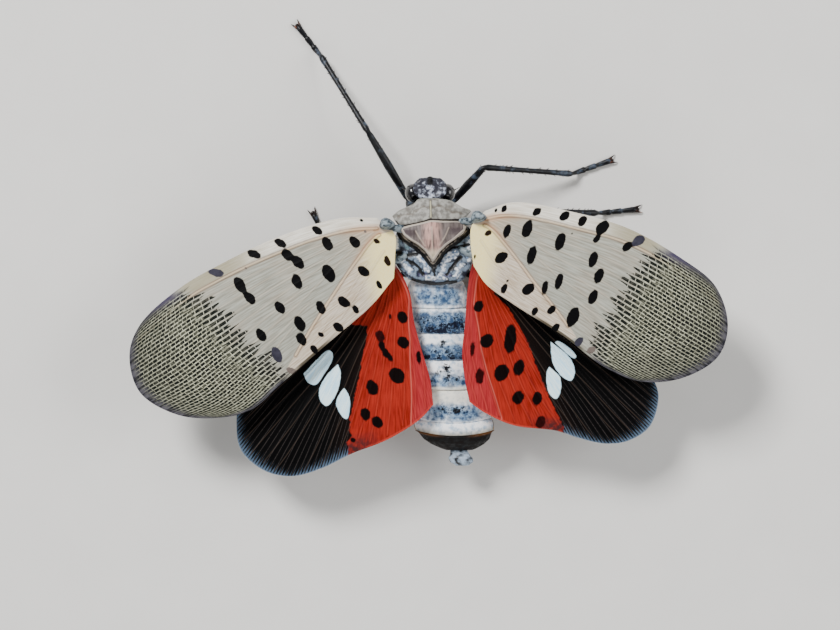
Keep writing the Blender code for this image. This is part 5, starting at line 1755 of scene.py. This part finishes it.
def make_flap():
    """The waxy lobed anal tube, on a stem that sinks into the tail."""
    places = np.linspace(FLAP_RINGS[0][0], FLAP_RINGS[-1][0], FLAP_ROWS)
    half, top, bottom = table(FLAP_RINGS, places)
    turns = full_turn(FLAP_SIDES)
    rings = []
    for y, w, high, low in zip(places, half, top, bottom):
        lobes = 1 + 0.09 * np.cos(3 * turns + y) + 0.05 * np.cos(5 * turns - 4 * y)
        x = middle(y) + w * np.cos(turns) * lobes
        z = (high + low) / 2 + (high - low) / 2 * np.sin(turns) * lobes
        rings.append(np.column_stack([x, np.full(FLAP_SIDES, y), z]))
    stem = rings[0].copy()
    stem[:, 1] += FLAP_STEM
    stem[:, 0] = middle(stem[0, 1]) + (stem[:, 0] - middle(places[0])) * FLAP_STEM_SIZE
    stem[:, 2] = FLAP_STEM_HEIGHT + (stem[:, 2] - FLAP_HEIGHT) * FLAP_STEM_SIZE
    points, faces = closed_skin([stem] + rings)
    add_piece("anal_flap", points, faces, "wax", ["anal_tube"], flap_paint())


def make_stage():
    """A plain pale floor, soft lights and a camera that looks straight down."""
    scene = bpy.context.scene
    mesh = bpy.data.meshes.new("floor")
    corners = [(x * FLOOR_HALF, y * FLOOR_HALF, 0) for x, y in ((-1, -1), (1, -1), (1, 1), (-1, 1))]
    mesh.from_pydata(corners, [], [(0, 1, 2, 3)])
    paint = Paint("floor_paint", 0.2, Roughness=0.8)
    paint.ground = paint.mix(paint.noise(4.0, 2.0), (226, 224, 220), (232, 230, 226))
    mesh.materials.append(paint.finish(None))
    ground = bpy.data.objects.new("floor", mesh)
    bpy.context.collection.objects.link(ground)
    ground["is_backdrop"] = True

    for name, place, size, power in LAMPS:
        light = bpy.data.lights.new(name, "AREA")
        light.size = size
        light.energy = power
        lamp = bpy.data.objects.new(name, light)
        lamp.location = place
        lamp.rotation_euler = (-Vector(place)).to_track_quat("-Z", "Y").to_euler()
        bpy.context.collection.objects.link(lamp)
    world = bpy.data.worlds.new("studio")
    world.use_nodes = True
    sky = world.node_tree.nodes["Background"].inputs
    sky["Color"].default_value = SKY_COLOUR
    sky["Strength"].default_value = SKY_STRENGTH
    scene.world = world

    data = bpy.data.cameras.new("camera")
    data.lens = LENS
    data.sensor_width = SENSOR
    data.clip_start = NEAREST
    camera = bpy.data.objects.new("camera", data)
    camera.location = (np.array(CAMERA_PLACE) + SHIFT) * MM
    bpy.context.collection.objects.link(camera)
    scene.camera = camera


make_stage()
make_wings()
make_trunk()
make_pronotum()
make_mesonotum()
make_metanotum()
make_tegulae()
make_head()
make_eyes_and_feelers()
make_beak()
make_legs()
make_flap()

new_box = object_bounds()
boxes = [[list(corner) for corner in box] for box in (cad_box, new_box)]
